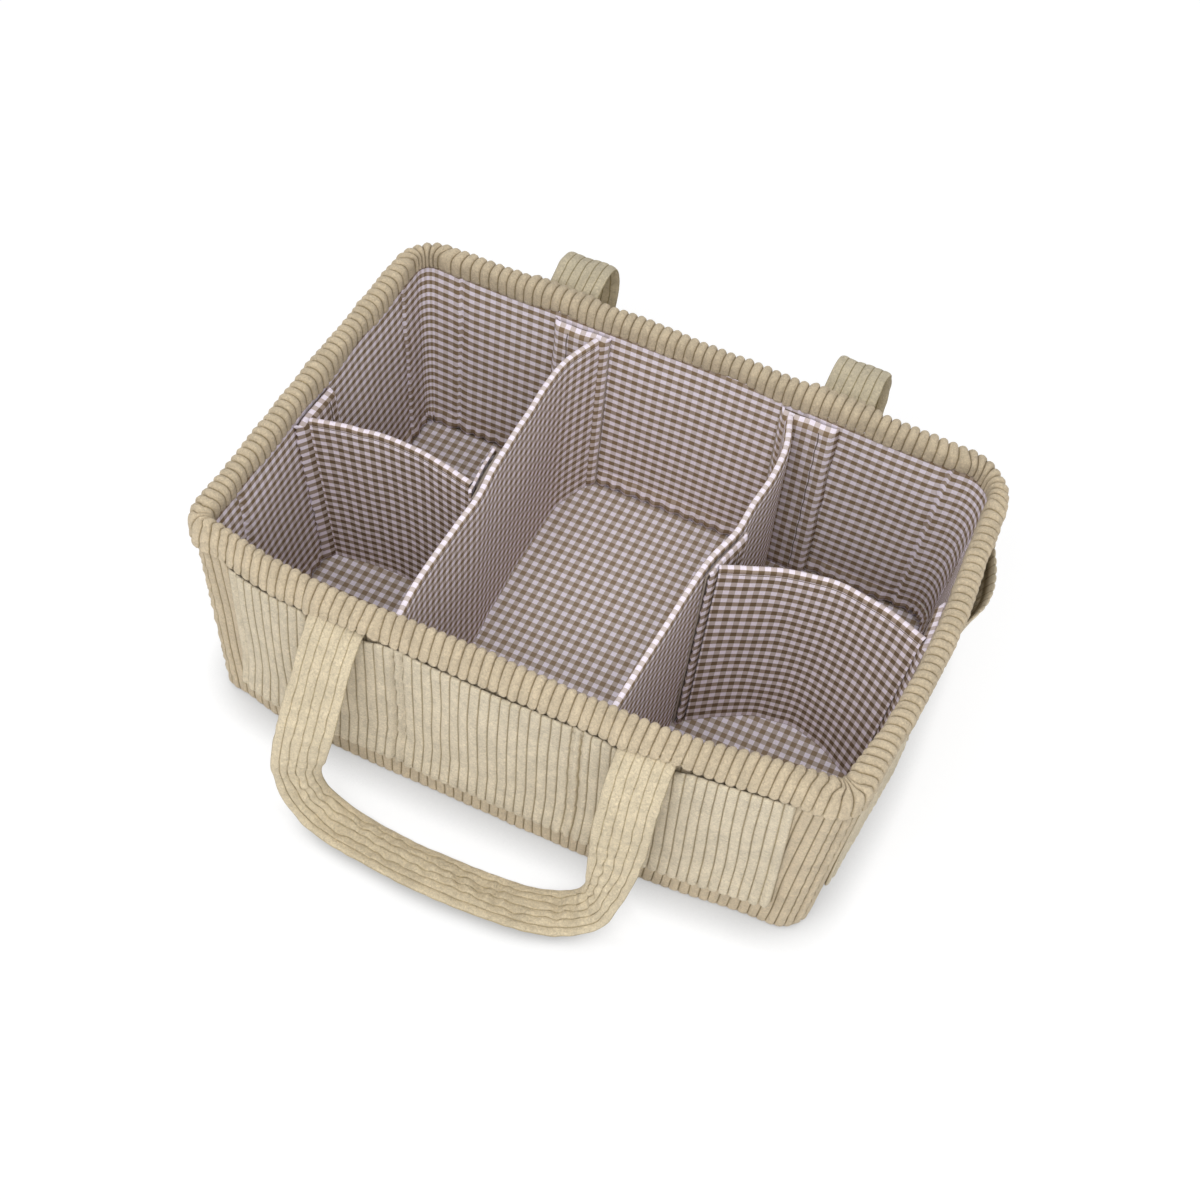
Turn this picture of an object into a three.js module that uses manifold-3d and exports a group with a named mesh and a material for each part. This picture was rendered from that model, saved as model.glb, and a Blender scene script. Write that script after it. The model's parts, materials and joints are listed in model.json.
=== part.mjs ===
// A soft diaper caddy: an open tub of thick corduroy over foam, lined with checked cotton,
// with two carrying straps, flat pockets on every side and four lift-out dividers.
// Millimetres, +Z up, +X along the length, the front faces -Y, origin on the floor at the middle.
import * as THREE from 'three';
import Module from 'manifold-3d';

const wasm = await Module();
wasm.setup();

// Driving sizes of the tub, over its outer cloth
const height = 150.5;
const top_length = 376;
const top_width = 247;
const base_length = 354;
const base_width = 241;
const front_bulge = 8.6;
const back_bulge = 2.5;
const right_bulge = 5;
const left_bulge = 0.5;
const even_bow = [1, 1];
const front_bow = [5, 2];

// Corners of the tub: how far each stands beyond an even rectangle, and how it is rounded
const front_left = { across: -1, deep: -1, rim_longer: 0.3, rim_wider: 1.7, base_longer: 4.5, round: 12 };
const front_right = { across: 1, deep: -1, rim_longer: 3, rim_wider: 1.7, base_longer: 2, round: 17 };
const back_right = { across: 1, deep: 1, rim_longer: 5, rim_wider: -3.5, base_longer: 0, round: 33 };
const back_left = { across: -1, deep: 1, rim_longer: -5, rim_wider: -0.5, base_longer: 0, round: 25 };
const tightest_round = 4;

// Cloth and layers
const corduroy = 1.8;
const foam = 5;
const cotton = 0.8;
const base_board = 3;
const clearance = 0.3;

// Hem that binds the rim
const hem_outside = 16.5;
const hem_inside = 14.5;
const hem_round = 2.2;
const hem_ramp = 8;
const hem_side_room = 0.9;

// Carrying straps
const strap_width = 31;
const strap_thickness = 3;
const strap_spacing = 174;
const strap_tuck = 11;
const strap_drop = 2;
const strap_level = height - hem_outside - strap_drop;
const front_strap_shift = -3.5;
const front_strap_line_out = 3.5;
const back_strap_line_out = 1.2;
const strap_reach = 51;
const front_root_reach = 13;
const back_root_reach = 15.7;
const back_root_rise = 7;
const hinge_play = 0.8;

// Outside pockets
const pocket_low = 28;
const pocket_mouth = 6;
const pocket_high = height - hem_outside - pocket_mouth;
const pocket_inset = 17;
const pocket_half = Math.min(base_length, top_length) / 2 - pocket_inset;
const inner_seam = 53;
const flat_bow = 7.5;
const end_pocket_drop = 35.5;
const end_pocket_high = height - end_pocket_drop;
const end_pocket_inset = 20.5;
const end_pocket_half = Math.min(base_width, top_width) / 2 - end_pocket_inset;
const end_seam = 8;
const end_bow = 16;

// Dividers and the tapes that hold them
const divider_drop = 15.5;
const divider_top = height - divider_drop;
const divider_board = 2.6;
const divider_cloth = 0.9;
const board_inset = 9;
const flange_cloth = 1.6;
const tab_length = 24;
const lip_length = 7;
const hook_tape = 1.2;
const loop_tape = corduroy;
const thin_loop_tape = 1;
const tape_margin = 4;
const lift_play = 0.7;
const overrun = 5;

// Layer depths, measured inwards from the outer face of the wall
const foam_depth = corduroy + clearance;
const lining_depth = foam_depth + foam + clearance;
const wall_depth = lining_depth + cotton;
const loop_depth = wall_depth + clearance;
const hook_depth = loop_depth + loop_tape + clearance;
const flange_depth = hook_depth + hook_tape + clearance;
const flange_middle = flange_depth + flange_cloth / 2;

// Layer levels, measured up from the floor
const wall_low = corduroy + clearance;
const wall_high = height - corduroy - clearance;
const board_high = wall_low + base_board;
const lining_low = board_high + clearance;
const lining_high = lining_low + cotton;
const divider_low = lining_high + clearance;

const corduroy_cloth = new THREE.MeshStandardMaterial({ color: 0xd9cba4, roughness: 0.95, metalness: 0 });
const pocket_cloth = new THREE.MeshStandardMaterial({ color: 0xcdc1aa, roughness: 0.95, metalness: 0 });
const checked_cotton = new THREE.MeshStandardMaterial({ color: 0xb3a59f, roughness: 0.9, metalness: 0 });
const foam_sheet = new THREE.MeshStandardMaterial({ color: 0xf1efe8, roughness: 0.95, metalness: 0 });
const stiff_board = new THREE.MeshStandardMaterial({ color: 0xe6e1d5, roughness: 0.7, metalness: 0 });
const tape_cloth = new THREE.MeshStandardMaterial({ color: 0xe4dccb, roughness: 0.9, metalness: 0 });

const { lerp, clamp, smoothstep } = THREE.MathUtils;
const quarter_turn = Math.PI / 2;

const along_x = new THREE.Vector3(1, 0, 0);
const along_y = new THREE.Vector3(0, 1, 0);
const against_x = new THREE.Vector3(-1, 0, 0);
const against_y = new THREE.Vector3(0, -1, 0);
const front = { along: along_x, out: against_y, bulge: front_bulge, bow: front_bow, panels: 36 };
const right = { along: along_y, out: along_x, bulge: right_bulge, bow: even_bow, panels: 12 };
const back = { along: against_x, out: along_y, bulge: back_bulge, bow: even_bow, panels: 12 };
const left = { along: against_y, out: against_x, bulge: left_bulge, bow: even_bow, panels: 12 };
Object.assign(front, { from: front_left, to: front_right });
Object.assign(right, { from: front_right, to: back_right });
Object.assign(back, { from: back_right, to: back_left });
Object.assign(left, { from: back_left, to: front_left });
const walls = { front, right, back, left };
front.straps = [front_strap_shift - strap_spacing / 2, front_strap_shift + strap_spacing / 2];
back.straps = [-strap_spacing / 2, strap_spacing / 2];
right.straps = [];
left.straps = [];
front.strap_line_out = front_strap_line_out;
back.strap_line_out = back_strap_line_out;

const caddy = new THREE.Group();

function add(name, geometry, material) {
  const piece = new THREE.Mesh(geometry, material);
  piece.name = name;
  caddy.add(piece);
}

const steps = (from, to, count) => Array.from({ length: count + 1 }, (_, i) => lerp(from, to, i / count));

// A closed body from corners and triangles, turned so that its faces point out
function closed_body(points, faces) {
  const cross = new THREE.Vector3();
  const volume = faces.reduce(
    (sum, [a, b, c]) => sum + points[a].dot(cross.crossVectors(points[b], points[c])), 0);
  const geometry = new THREE.BufferGeometry().setFromPoints(points);
  geometry.setIndex(faces.flatMap(([a, b, c]) => (volume > 0 ? [a, b, c] : [a, c, b])));
  return geometry;
}

// Two matching grids of points, joined all round their edges into one thick sheet
function thick_sheet(near, far) {
  const rows = near.length;
  const columns = near[0].length;
  const faces = [];
  const quad = (a, b, c, d) => faces.push([a, b, c], [a, c, d]);
  const n = (row, column) => row * columns + column;
  const f = (row, column) => rows * columns + n(row, column);
  const r = rows - 1;
  const c = columns - 1;
  for (let i = 0; i < r; i += 1) {
    for (let j = 0; j < c; j += 1) {
      quad(n(i, j), n(i + 1, j), n(i + 1, j + 1), n(i, j + 1));
      quad(f(i, j), f(i, j + 1), f(i + 1, j + 1), f(i + 1, j));
    }
    quad(n(i, 0), f(i, 0), f(i + 1, 0), n(i + 1, 0));
    quad(n(i, c), n(i + 1, c), f(i + 1, c), f(i, c));
  }
  for (let j = 0; j < c; j += 1) {
    quad(n(0, j), n(0, j + 1), f(0, j + 1), f(0, j));
    quad(n(r, j), f(r, j), f(r, j + 1), n(r, j + 1));
  }
  return closed_body([...near.flat(), ...far.flat()], faces);
}

// Matching sections joined one after the other into a closed ring
function ring_body(sections) {
  const count = sections[0].length;
  const faces = [];
  sections.forEach((_, i) => {
    const next = (i + 1) % sections.length;
    for (let j = 0; j < count; j += 1) {
      const k = (j + 1) % count;
      faces.push([i * count + j, next * count + j, next * count + k]);
      faces.push([i * count + j, next * count + k, i * count + k]);
    }
  });
  return closed_body(sections.flat(), faces);
}

// Solids that are cut or joined go through manifold and come back as one geometry
function to_manifold(geometry) {
  return new wasm.Manifold(new wasm.Mesh({
    numProp: 3,
    vertProperties: Float32Array.from(geometry.attributes.position.array),
    triVerts: Uint32Array.from(geometry.index.array),
  }));
}

function from_manifold(solid) {
  const mesh = solid.getMesh();
  const geometry = new THREE.BufferGeometry();
  geometry.setAttribute('position', new THREE.BufferAttribute(mesh.vertProperties, mesh.numProp));
  geometry.setIndex(new THREE.BufferAttribute(mesh.triVerts, 1));
  return geometry;
}

// The walls lean out from the base to the rim, bow out between rounded corners, and are
// addressed by a share of a side: -1 to 1 is the straight run, 1 to 2 the corner after it.
function corner_point(corner, level) {
  const rise = level / height;
  const length = lerp(base_length, top_length, rise) / 2 + lerp(corner.base_longer, corner.rim_longer, rise);
  const width = lerp(base_width, top_width, rise) / 2 + corner.rim_wider * rise;
  return new THREE.Vector3(corner.across * length, corner.deep * width, level);
}

const round_at = (corner, depth) => Math.max(corner.round - depth, tightest_round);

function run_end(side, hand, depth, level) {
  const corner = hand > 0 ? side.to : side.from;
  return corner_point(corner, level)
    .addScaledVector(side.along, -hand * (depth + round_at(corner, depth)))
    .addScaledVector(side.out, -depth);
}

function wall_point(side, share, depth, level) {
  const run_share = clamp(share, -1, 1);
  const turn = (Math.abs(share) - Math.abs(run_share)) * quarter_turn;
  const round = round_at(share > 0 ? side.to : side.from, depth);
  const fullness = side.bow[share > 0 ? 1 : 0];
  const bow = side.bulge * Math.cos(Math.abs(run_share) ** fullness * quarter_turn) ** 2;
  return run_end(side, -1, depth, level)
    .lerp(run_end(side, 1, depth, level), (run_share + 1) / 2)
    .addScaledVector(side.along, Math.sign(share) * round * Math.sin(turn))
    .addScaledVector(side.out, bow + round * (Math.cos(turn) - 1));
}

function place_of(side, share, depth, level) {
  return wall_point(side, share, depth, level).dot(side.along);
}

function share_at(side, place, depth, level) {
  const start = place_of(side, -1, depth, level);
  const end = place_of(side, 1, depth, level);
  const run_place = clamp(place, start, end);
  const round = round_at(place > run_place ? side.to : side.from, depth);
  const turn = Math.asin((place - run_place) / round);
  return (2 * run_place - start - end) / (end - start) + turn / quarter_turn;
}

// A sheet that follows a wall between two depths; each spot gives a share of the side per level
function wall_sheet(side, spots, levels, outside, inside) {
  const grid = (depth) => spots.map((spot) => levels.map((level) => {
    const share = spot(level);
    return wall_point(side, share, depth(share, level), level);
  }));
  return thick_sheet(grid(outside), grid(inside));
}

const even = (depth) => () => depth;
const spots_between = (side, from, to, depth, count) => steps(0, 1, count).map((part) => (level) => (
  share_at(side, lerp(from(level), to(level), part), depth, level)));

// A level sheet inside the walls, such as the base cloth and its board. Its edge runs straight
// over the full middle of each wall, where the bow is almost flat
const full_share = 0.5;

function floor_sheet(depth, low, high) {
  const edge_shares = (side) => [
    ...steps(-1, 1, side.panels).filter((share) => share === 0 || Math.abs(share) >= full_share),
    ...corner_shares,
  ];
  const outline = Object.values(walls).flatMap((side) => (
    edge_shares(side).map((share) => wall_point(side, share, depth, low))));
  const shape = new THREE.Shape(outline.map((point) => new THREE.Vector2(point.x, point.y)));
  const sheet = new THREE.ExtrudeGeometry(shape, { depth: high - low, bevelEnabled: false });
  return sheet.translate(0, 0, low);
}

const corner_steps = 6;
const corner_shares = steps(1, 2, corner_steps).slice(1, -1);

// Wall panels: each runs from the middle of one corner to the middle of the next
const mid_corner_share = (corner) => 1.5 - clearance / 2 / (round_at(corner, wall_depth) * quarter_turn);
const panel_shares = (side) => [
  ...steps(-mid_corner_share(side.from), -1, corner_steps / 2),
  ...steps(-1, 1, side.panels).slice(1, -1),
  ...steps(1, mid_corner_share(side.to), corner_steps / 2),
];

function wall_panel(side, depth, thickness, low) {
  const spots = panel_shares(side).map((share) => () => share);
  return wall_sheet(side, spots, [low, wall_high], even(depth), even(depth + thickness));
}

function build_tub() {
  add('base_cloth', floor_sheet(0, 0, corduroy), corduroy_cloth);
  add('base_board', floor_sheet(lining_depth, wall_low, board_high), stiff_board);
  add('floor_lining', floor_sheet(lining_depth, lining_low, lining_high), checked_cotton);
  Object.entries(walls).forEach(([name, side]) => {
    add(`${name}_cloth`, wall_panel(side, 0, corduroy, wall_low), corduroy_cloth);
    add(`${name}_foam`, wall_panel(side, foam_depth, foam, wall_low), foam_sheet);
    add(`${name}_lining`, wall_panel(side, lining_depth, cotton, divider_low), checked_cotton);
  });
}

// Rim hem: one strip folded over the top edge, which swells over the four sewn strap ends
const strap_swell = strap_thickness + clearance;
const hem_low_outside = height - hem_outside;
const hem_low_inside = height - hem_inside;
const tuck_level = hem_low_outside + strap_tuck / 2;

function swell_at(side, share) {
  const here = place_of(side, share, 0, tuck_level);
  const nearest = Math.min(...side.straps.map((place) => Math.abs(here - place)));
  const edge = strap_width / 2 + hem_side_room;
  return strap_swell * (1 - smoothstep(nearest, edge, edge + hem_ramp));
}

function hem_section(side, share) {
  const swell = swell_at(side, share);
  const inner = loop_depth + corduroy;
  const outer = -clearance - corduroy;
  const swell_top = hem_low_outside + strap_tuck + 2 * clearance;
  const rounded = (turn) => [hem_round * (1 - Math.cos(turn)), hem_round * (1 - Math.sin(turn))];
  const [lean, drop] = rounded(quarter_turn / 2);
  const outline = [
    [-clearance - swell, hem_low_outside],
    [-clearance - swell, swell_top],
    [-clearance, height - corduroy],
    [loop_depth, height - corduroy],
    [loop_depth, hem_low_inside],
    [inner, hem_low_inside],
    [inner, height - hem_round],
    [inner - lean, height - drop],
    [inner - hem_round, height],
    [outer + hem_round, height],
    [outer + lean, height - drop],
    [outer - swell / 2, height - hem_round],
    [outer - swell, swell_top - corduroy],
    [outer - swell, hem_low_outside],
  ];
  return outline.map(([depth, level]) => wall_point(side, share, depth, level));
}

function hem_shares(side) {
  const edge = strap_width / 2 + hem_side_room;
  const at_straps = side.straps.flatMap((place) => [-1, 1].flatMap((hand) => (
    [place + hand * edge, place + hand * (edge + hem_ramp / 2), place + hand * (edge + hem_ramp)])));
  const plain = steps(-1, 1, side.panels).filter((share) => (
    at_straps.every((place) => Math.abs(place - place_of(side, share, 0, tuck_level)) > hem_ramp / 2)));
  const ramps = at_straps.map((place) => share_at(side, place, 0, tuck_level));
  const run = [...plain, ...ramps].sort((a, b) => a - b);
  return [...run, ...corner_shares];
}

function build_hem() {
  const sections = Object.values(walls).flatMap((side) => (
    hem_shares(side).map((share) => hem_section(side, share))));
  add('rim_hem', ring_body(sections), corduroy_cloth);
}

// Outside pockets: one panel a side, sewn down at its seams and slack between them
const pocket_steps = 16;

function pocket_panel(side, seams, bows, high) {
  const slack = (share, level) => {
    const place = place_of(side, share, 0, level);
    const pocket = bows.findIndex((_, i) => place < seams[i + 1] || i === bows.length - 1);
    const part = clamp((place - seams[pocket]) / (seams[pocket + 1] - seams[pocket]), 0, 1);
    const rise = (level - pocket_low) / (high - pocket_low);
    return bows[pocket] * Math.sin(part * Math.PI) ** 2 * Math.sin(rise * quarter_turn);
  };
  const places = bows.flatMap((_, i) => steps(seams[i], seams[i + 1], pocket_steps).slice(i ? 1 : 0));
  const spots = places.map((place) => (level) => share_at(side, place, 0, level));
  const inside = (share, level) => -clearance - slack(share, level);
  const outside = (share, level) => inside(share, level) - corduroy;
  return wall_sheet(side, spots, steps(pocket_low, high, pocket_steps / 4), outside, inside);
}

function build_pockets() {
  const long_seams = [-pocket_half, -inner_seam, inner_seam, pocket_half];
  const end_seams = [-end_pocket_half, end_seam, end_pocket_half];
  const long_bows = [flat_bow, flat_bow, flat_bow];
  add('front_pocket_panel', pocket_panel(front, long_seams, long_bows, pocket_high), pocket_cloth);
  add('back_pocket_panel', pocket_panel(back, long_seams, long_bows, pocket_high), pocket_cloth);
  add('right_pocket_panel', pocket_panel(right, end_seams, [flat_bow, end_bow], end_pocket_high), pocket_cloth);
  const mirrored = end_seams.map((place) => -place).reverse();
  add('left_pocket_panel', pocket_panel(left, mirrored, [end_bow, flat_bow], end_pocket_high), pocket_cloth);
}

// Carrying straps: a flat band that leaves the hem, arches out and hangs to the floor, where
// the grip lies on its side. Each station is [along, out, up, across, width] in shares.
const front_shares = [
  [-1, 0.45, 0.939, [-1, 0, 0], 1],
  [-1, 0.66, 0.803, [-1, 0, 0], 1],
  [-1.01, 0.9, 0.652, [-1, -0.15, -0.05], 1],
  [-1.04, 0.98, 0.485, [-1, -0.33, -0.44], 0.94],
  [-1.075, 0.95, 0.32, [-1, -0.58, -0.75], 0.84],
  [-1.03, 0.91, 0.155, [-0.7, -1, -0.77], 0.82],
  [-0.86, 0.93, 0.068, [-0.16, -1, -0.06], 0.86],
  [-0.535, 0.96, 0.042, [0, -1, 0.19], 0.93],
  [-0.05, 0.99, 0.042, [0, -1, 0.22], 1],
  [0.475, 0.92, 0.042, [0, -1, 0.19], 1],
  [0.75, 0.79, 0.06, [0.26, -1, -0.06], 0.9],
  [0.9, 0.69, 0.146, [1, -1, -0.6], 0.82],
  [0.955, 0.65, 0.32, [1, -0.14, -0.21], 0.82],
  [0.985, 0.64, 0.515, [1, 0.19, -0.06], 0.92],
  [0.995, 0.64, 0.68, [1, 0.16, 0], 1],
  [1, 0.66, 0.803, [1, 0, 0], 1],
  [1, 0.45, 0.939, [1, 0, 0], 1],
];
const back_shares = [
  [-1, 0.563, 1.072, [-1, 0, 0], 1],
  [-1, 0.8, 1.01, [-1, 0, 0], 1],
  [-1, 0.916, 0.917, [-1, 0, 0], 1],
  [-1.01, 0.935, 0.75, [-1, -0.1, -0.05], 1],
  ...front_shares.slice(3, 12),
  [0.955, 0.72, 0.32, [1, -0.14, -0.21], 0.82],
  [0.985, 0.82, 0.515, [1, 0.1, -0.06], 0.92],
  [0.995, 0.9, 0.75, [1, 0.05, 0], 1],
  [1, 0.916, 0.917, [1, 0, 0], 1],
  [1, 0.8, 1.01, [1, 0, 0], 1],
  [1, 0.563, 1.072, [1, 0, 0], 1],
];

const strap_line = lerp(base_width, top_width, strap_level / height) / 2;
const strap_face = (side) => strap_line + side.strap_line_out;

function strap_point(side, along, out, level) {
  const shift = (side.straps[0] + side.straps[1]) / 2;
  return new THREE.Vector3(shift + along, side.out.y * (strap_face(side) + out), level);
}

// Sections of a band: each has its middle, its width direction, its thickness direction and a width
function band_sections(points, acrosses, widths, per_station) {
  const curve = new THREE.CatmullRomCurve3(points, false, 'centripetal');
  const count = (points.length - 1) * per_station;
  return steps(0, 1, count).map((part) => {
    const place = part * (points.length - 1);
    const station = Math.min(Math.floor(place), points.length - 2);
    const between = place - station;
    const direction = curve.getTangent(part);
    const across = acrosses[station].clone().lerp(acrosses[station + 1], between);
    across.addScaledVector(direction, -across.dot(direction)).normalize();
    return {
      middle: curve.getPoint(part),
      direction,
      across,
      normal: new THREE.Vector3().crossVectors(direction, across),
      width: lerp(widths[station], widths[station + 1], between),
    };
  });
}

function band_body(sections) {
  const grid = (hand) => sections.map((section) => [-1, 1].map((edge) => section.middle.clone()
    .addScaledVector(section.across, edge * section.width / 2)
    .addScaledVector(section.normal, hand * (section.thickness ?? strap_thickness) / 2)));
  return thick_sheet(grid(1), grid(-1));
}

// The end of a band that a hinge turns about is rounded, and the band that turns is cut back
const cap_shares = [0.4, 0.7, 0.92];

function round_end(sections, hand) {
  const last = hand > 0 ? sections[sections.length - 1] : sections[0];
  const caps = cap_shares.map((share) => ({
    ...last,
    middle: last.middle.clone().addScaledVector(last.direction, hand * strap_thickness / 2 * share),
    thickness: strap_thickness * Math.sqrt(1 - share ** 2),
  }));
  return hand > 0 ? [...sections, ...caps] : [...caps.reverse(), ...sections];
}

function cut_back(sections, hand) {
  const cut = strap_thickness / 2 + hinge_play;
  const ordered = hand > 0 ? [...sections].reverse() : sections;
  const hinge = ordered[0].middle;
  const kept = ordered.findIndex((section) => section.middle.distanceTo(hinge) > cut);
  const inner = ordered[kept];
  const outer = ordered[kept - 1];
  const near = outer.middle.distanceTo(hinge);
  const part = (cut - near) / (inner.middle.distanceTo(hinge) - near);
  const end = { ...inner, middle: outer.middle.clone().lerp(inner.middle, part) };
  const rest = [end, ...ordered.slice(kept + (inner.middle.distanceTo(end.middle) < clearance ? 1 : 0))];
  return hand > 0 ? rest.reverse() : rest;
}

// The sewn end runs down inside the hem, turns under its lower edge and comes out to the hinge
const under_share = 0.7;
const under_rise_share = 0.3;

function strap_root(side, hand, root_reach, root_level) {
  const hinge = strap_point(side, hand * strap_spacing / 2, root_reach, root_level);
  const on_wall = (aside, depth, level) => (
    wall_point(side, share_at(side, side.along.x * hinge.x + aside, 0, level), depth, level));
  const bend = strap_thickness / 2 + clearance;
  const turned = steps(0, quarter_turn, 2).map((turn) => (
    on_wall(0, bend * Math.cos(turn) - 2 * bend, hem_low_outside - bend * Math.sin(turn))));
  const under = turned[2].clone().lerp(hinge, under_share);
  under.setZ(lerp(turned[2].z, root_level, under_rise_share));
  const points = [
    on_wall(0, -bend, hem_low_outside + strap_tuck),
    on_wall(0, -bend, hem_low_outside + strap_thickness),
    ...turned,
    under,
    hinge,
  ];
  const beside_wall = on_wall(strap_width / 2, 0, strap_level).sub(on_wall(-strap_width / 2, 0, strap_level));
  beside_wall.multiplyScalar(side.along.x).normalize();
  const level_across = new THREE.Vector3(1, 0, 0);
  const acrosses = points.map((_, i) => (i < 5 ? beside_wall : level_across));
  const widths = points.map(() => strap_width);
  return band_body(round_end(band_sections(points, acrosses, widths, 2), 1));
}

function strap(name, side, shares, arch_spans, root_reach, root_level) {
  const per_station = 3;
  const to_point = ([along, out, up]) => (
    strap_point(side, along * strap_spacing / 2, out * strap_reach, up * strap_level));
  const root = (hand) => strap_point(side, hand * strap_spacing / 2, root_reach, root_level);
  const points = [root(-1), ...shares.map(to_point), root(1)];
  const turned = shares.map(([, , , [along, out, up]]) => new THREE.Vector3(along, -out * side.out.y, up));
  const acrosses = [turned[0], ...turned, turned[turned.length - 1]];
  const widths = [1, ...shares.map((share) => share[4]), 1].map((share) => share * strap_width);
  const sections = band_sections(points, acrosses, widths, per_station);
  const knee = arch_spans * per_station;
  const far_knee = sections.length - 1 - knee;
  add(`${name}_strap_left_root`, strap_root(side, -1, root_reach, root_level), corduroy_cloth);
  add(`${name}_strap_right_root`, strap_root(side, 1, root_reach, root_level), corduroy_cloth);
  const left_arch = round_end(cut_back(sections.slice(0, knee + 1), -1), 1);
  const right_arch = round_end(cut_back(sections.slice(far_knee), 1), -1);
  const loop = cut_back(cut_back(sections.slice(knee, far_knee + 1), -1), 1);
  add(`${name}_strap_left_arch`, band_body(left_arch), corduroy_cloth);
  add(`${name}_strap_right_arch`, band_body(right_arch), corduroy_cloth);
  add(`${name}_handle_loop`, band_body(loop), corduroy_cloth);
}

function build_straps() {
  strap('front', front, front_shares, 2, front_root_reach, strap_level);
  strap('back', back, back_shares, 3, back_root_reach, strap_level + back_root_rise);
}

// Dividers: a stiff board in a sewn cotton sleeve, with a cloth flange across each end.
// The long tab of the flange carries hook tape, which grips loop tape on what it meets.
const half_divider = divider_board / 2 + clearance + divider_cloth;
const divider_steps = 30;
const left_bow_shares = [0, 0.3, 0.38, 0.38, 0.34, 0.62, 0.78, 0.88, 1, 0.85, 0];
const right_bow_shares = [0, 0.05, 0.1, 0.15, 0.2, 0.34, 0.86, 0.86, 1, 0.78, 0];
const left_long = { front_place: -66, back_place: -59, bow: -9, bow_shares: left_bow_shares, hand: -1 };
const right_long = { front_place: 56, back_place: 62, bow: 9, bow_shares: right_bow_shares, hand: 1 };

const face_loop = half_divider + clearance;
const face_hook = face_loop + thin_loop_tape + lift_play;
const face_flange = face_hook + hook_tape + clearance;

function long_path(long) {
  const curve = new THREE.SplineCurve(long.bow_shares.map((share, i) => new THREE.Vector2(i, share)));
  return (share, level) => {
    const start_share = share_at(front, long.front_place, flange_middle, level);
    const end_share = share_at(back, -long.back_place, flange_middle, level);
    const start = wall_point(front, start_share, flange_middle, level);
    const end = wall_point(back, end_share, flange_middle, level);
    const point = start.lerp(end, share);
    point.x += long.bow * curve.getPoint(clamp(share, 0, 1)).y;
    return point;
  };
}

function share_of_path(path, place, level) {
  const start = path(0, level).y;
  return (place - start) / (path(1, level).y - start);
}

// A sheet that stands on edge beside a path, between two distances from it
function beside(path, share, level, distance) {
  const nudge_share = 0.01;
  const ahead = path(Math.min(share + nudge_share, 1), level);
  const direction = ahead.sub(path(Math.max(share - nudge_share, 0), level)).setZ(0).normalize();
  const normal = new THREE.Vector3(direction.y, -direction.x, 0);
  return path(share, level).addScaledVector(normal, distance);
}

function upright_sheet(path, spots, levels, near, far) {
  const grid = (distance) => spots.map((spot) => levels.map((level) => beside(path, spot(level), level, distance)));
  return thick_sheet(grid(near), grid(far));
}

function divider(name, path, flanges) {
  const length = path(0, divider_top).distanceTo(path(1, divider_top));
  const inset_share = board_inset / length;
  const gap_share = clearance / length;
  const between = (from, to) => steps(from, to, divider_steps).map((share) => () => share);
  const slot_half = divider_board / 2 + clearance;
  const slot_high = divider_top - divider_cloth;
  const body = upright_sheet(path, between(0, 1), [divider_low, divider_top], -half_divider, half_divider);
  const slot_spots = between(inset_share, 1 - inset_share);
  const slot = upright_sheet(path, slot_spots, [divider_low - overrun, slot_high], -slot_half, slot_half);
  const board_spots = between(inset_share + gap_share, 1 - inset_share - gap_share);
  const board_levels = [divider_low, slot_high - clearance];
  const sleeve = flanges.map(to_manifold).reduce((solid, flange) => solid.add(flange), to_manifold(body));
  add(`${name}_sleeve`, from_manifold(sleeve.subtract(to_manifold(slot))), checked_cotton);
  const half_board = divider_board / 2;
  add(`${name}_board`, upright_sheet(path, board_spots, board_levels, -half_board, half_board), stiff_board);
}

// Where a divider meets a wall: flange, hook tape on its tab, and loop tape on the lining
const full_levels = [divider_low, divider_top];
const hook_levels = [divider_low + tape_margin, divider_top - 2 * tape_margin];
const loop_levels = [divider_low + clearance, divider_top - tape_margin];
const flange_steps = 6;
const slant_steps = 4;

function wall_joint(side, place, hand) {
  const from = (reach) => (level) => place(level) + hand * reach;
  const strip = (start, end, levels, depth, thickness) => wall_sheet(side,
    spots_between(side, from(start), from(end), depth, flange_steps),
    levels, even(depth), even(depth + thickness));
  return {
    flange: strip(-lip_length, tab_length, full_levels, flange_depth, flange_cloth),
    hook: strip(tape_margin, tab_length - tape_margin / 2, hook_levels, hook_depth, hook_tape),
    loop: strip(-lip_length, tab_length + tape_margin, loop_levels, loop_depth, loop_tape),
  };
}

function build_long_divider(name, long) {
  const path = long_path(long);
  const front_end = wall_joint(front, () => long.front_place, long.hand);
  const back_end = wall_joint(back, () => -long.back_place, -long.hand);
  divider(`${name}_divider`, path, [front_end.flange, back_end.flange]);
  add(`${name}_divider_front_hook_tape`, front_end.hook, tape_cloth);
  add(`${name}_divider_back_hook_tape`, back_end.hook, tape_cloth);
  add(`${name}_front_loop_tape`, front_end.loop, tape_cloth);
  add(`${name}_back_loop_tape`, back_end.loop, tape_cloth);
  return path;
}

// A cross divider stands between an end wall and a long divider, and bows to the back
const left_cross = {
  side: left, hand: -1, outer_low: -9, outer_top: -21, inner_low: -11, inner_top: -19, bow_low: 5, bow_top: 8,
};
const right_cross = {
  side: right, hand: 1, outer_low: -16, outer_top: -2, inner_low: -21, inner_top: -8, bow_low: 22, bow_top: 16,
};

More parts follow.
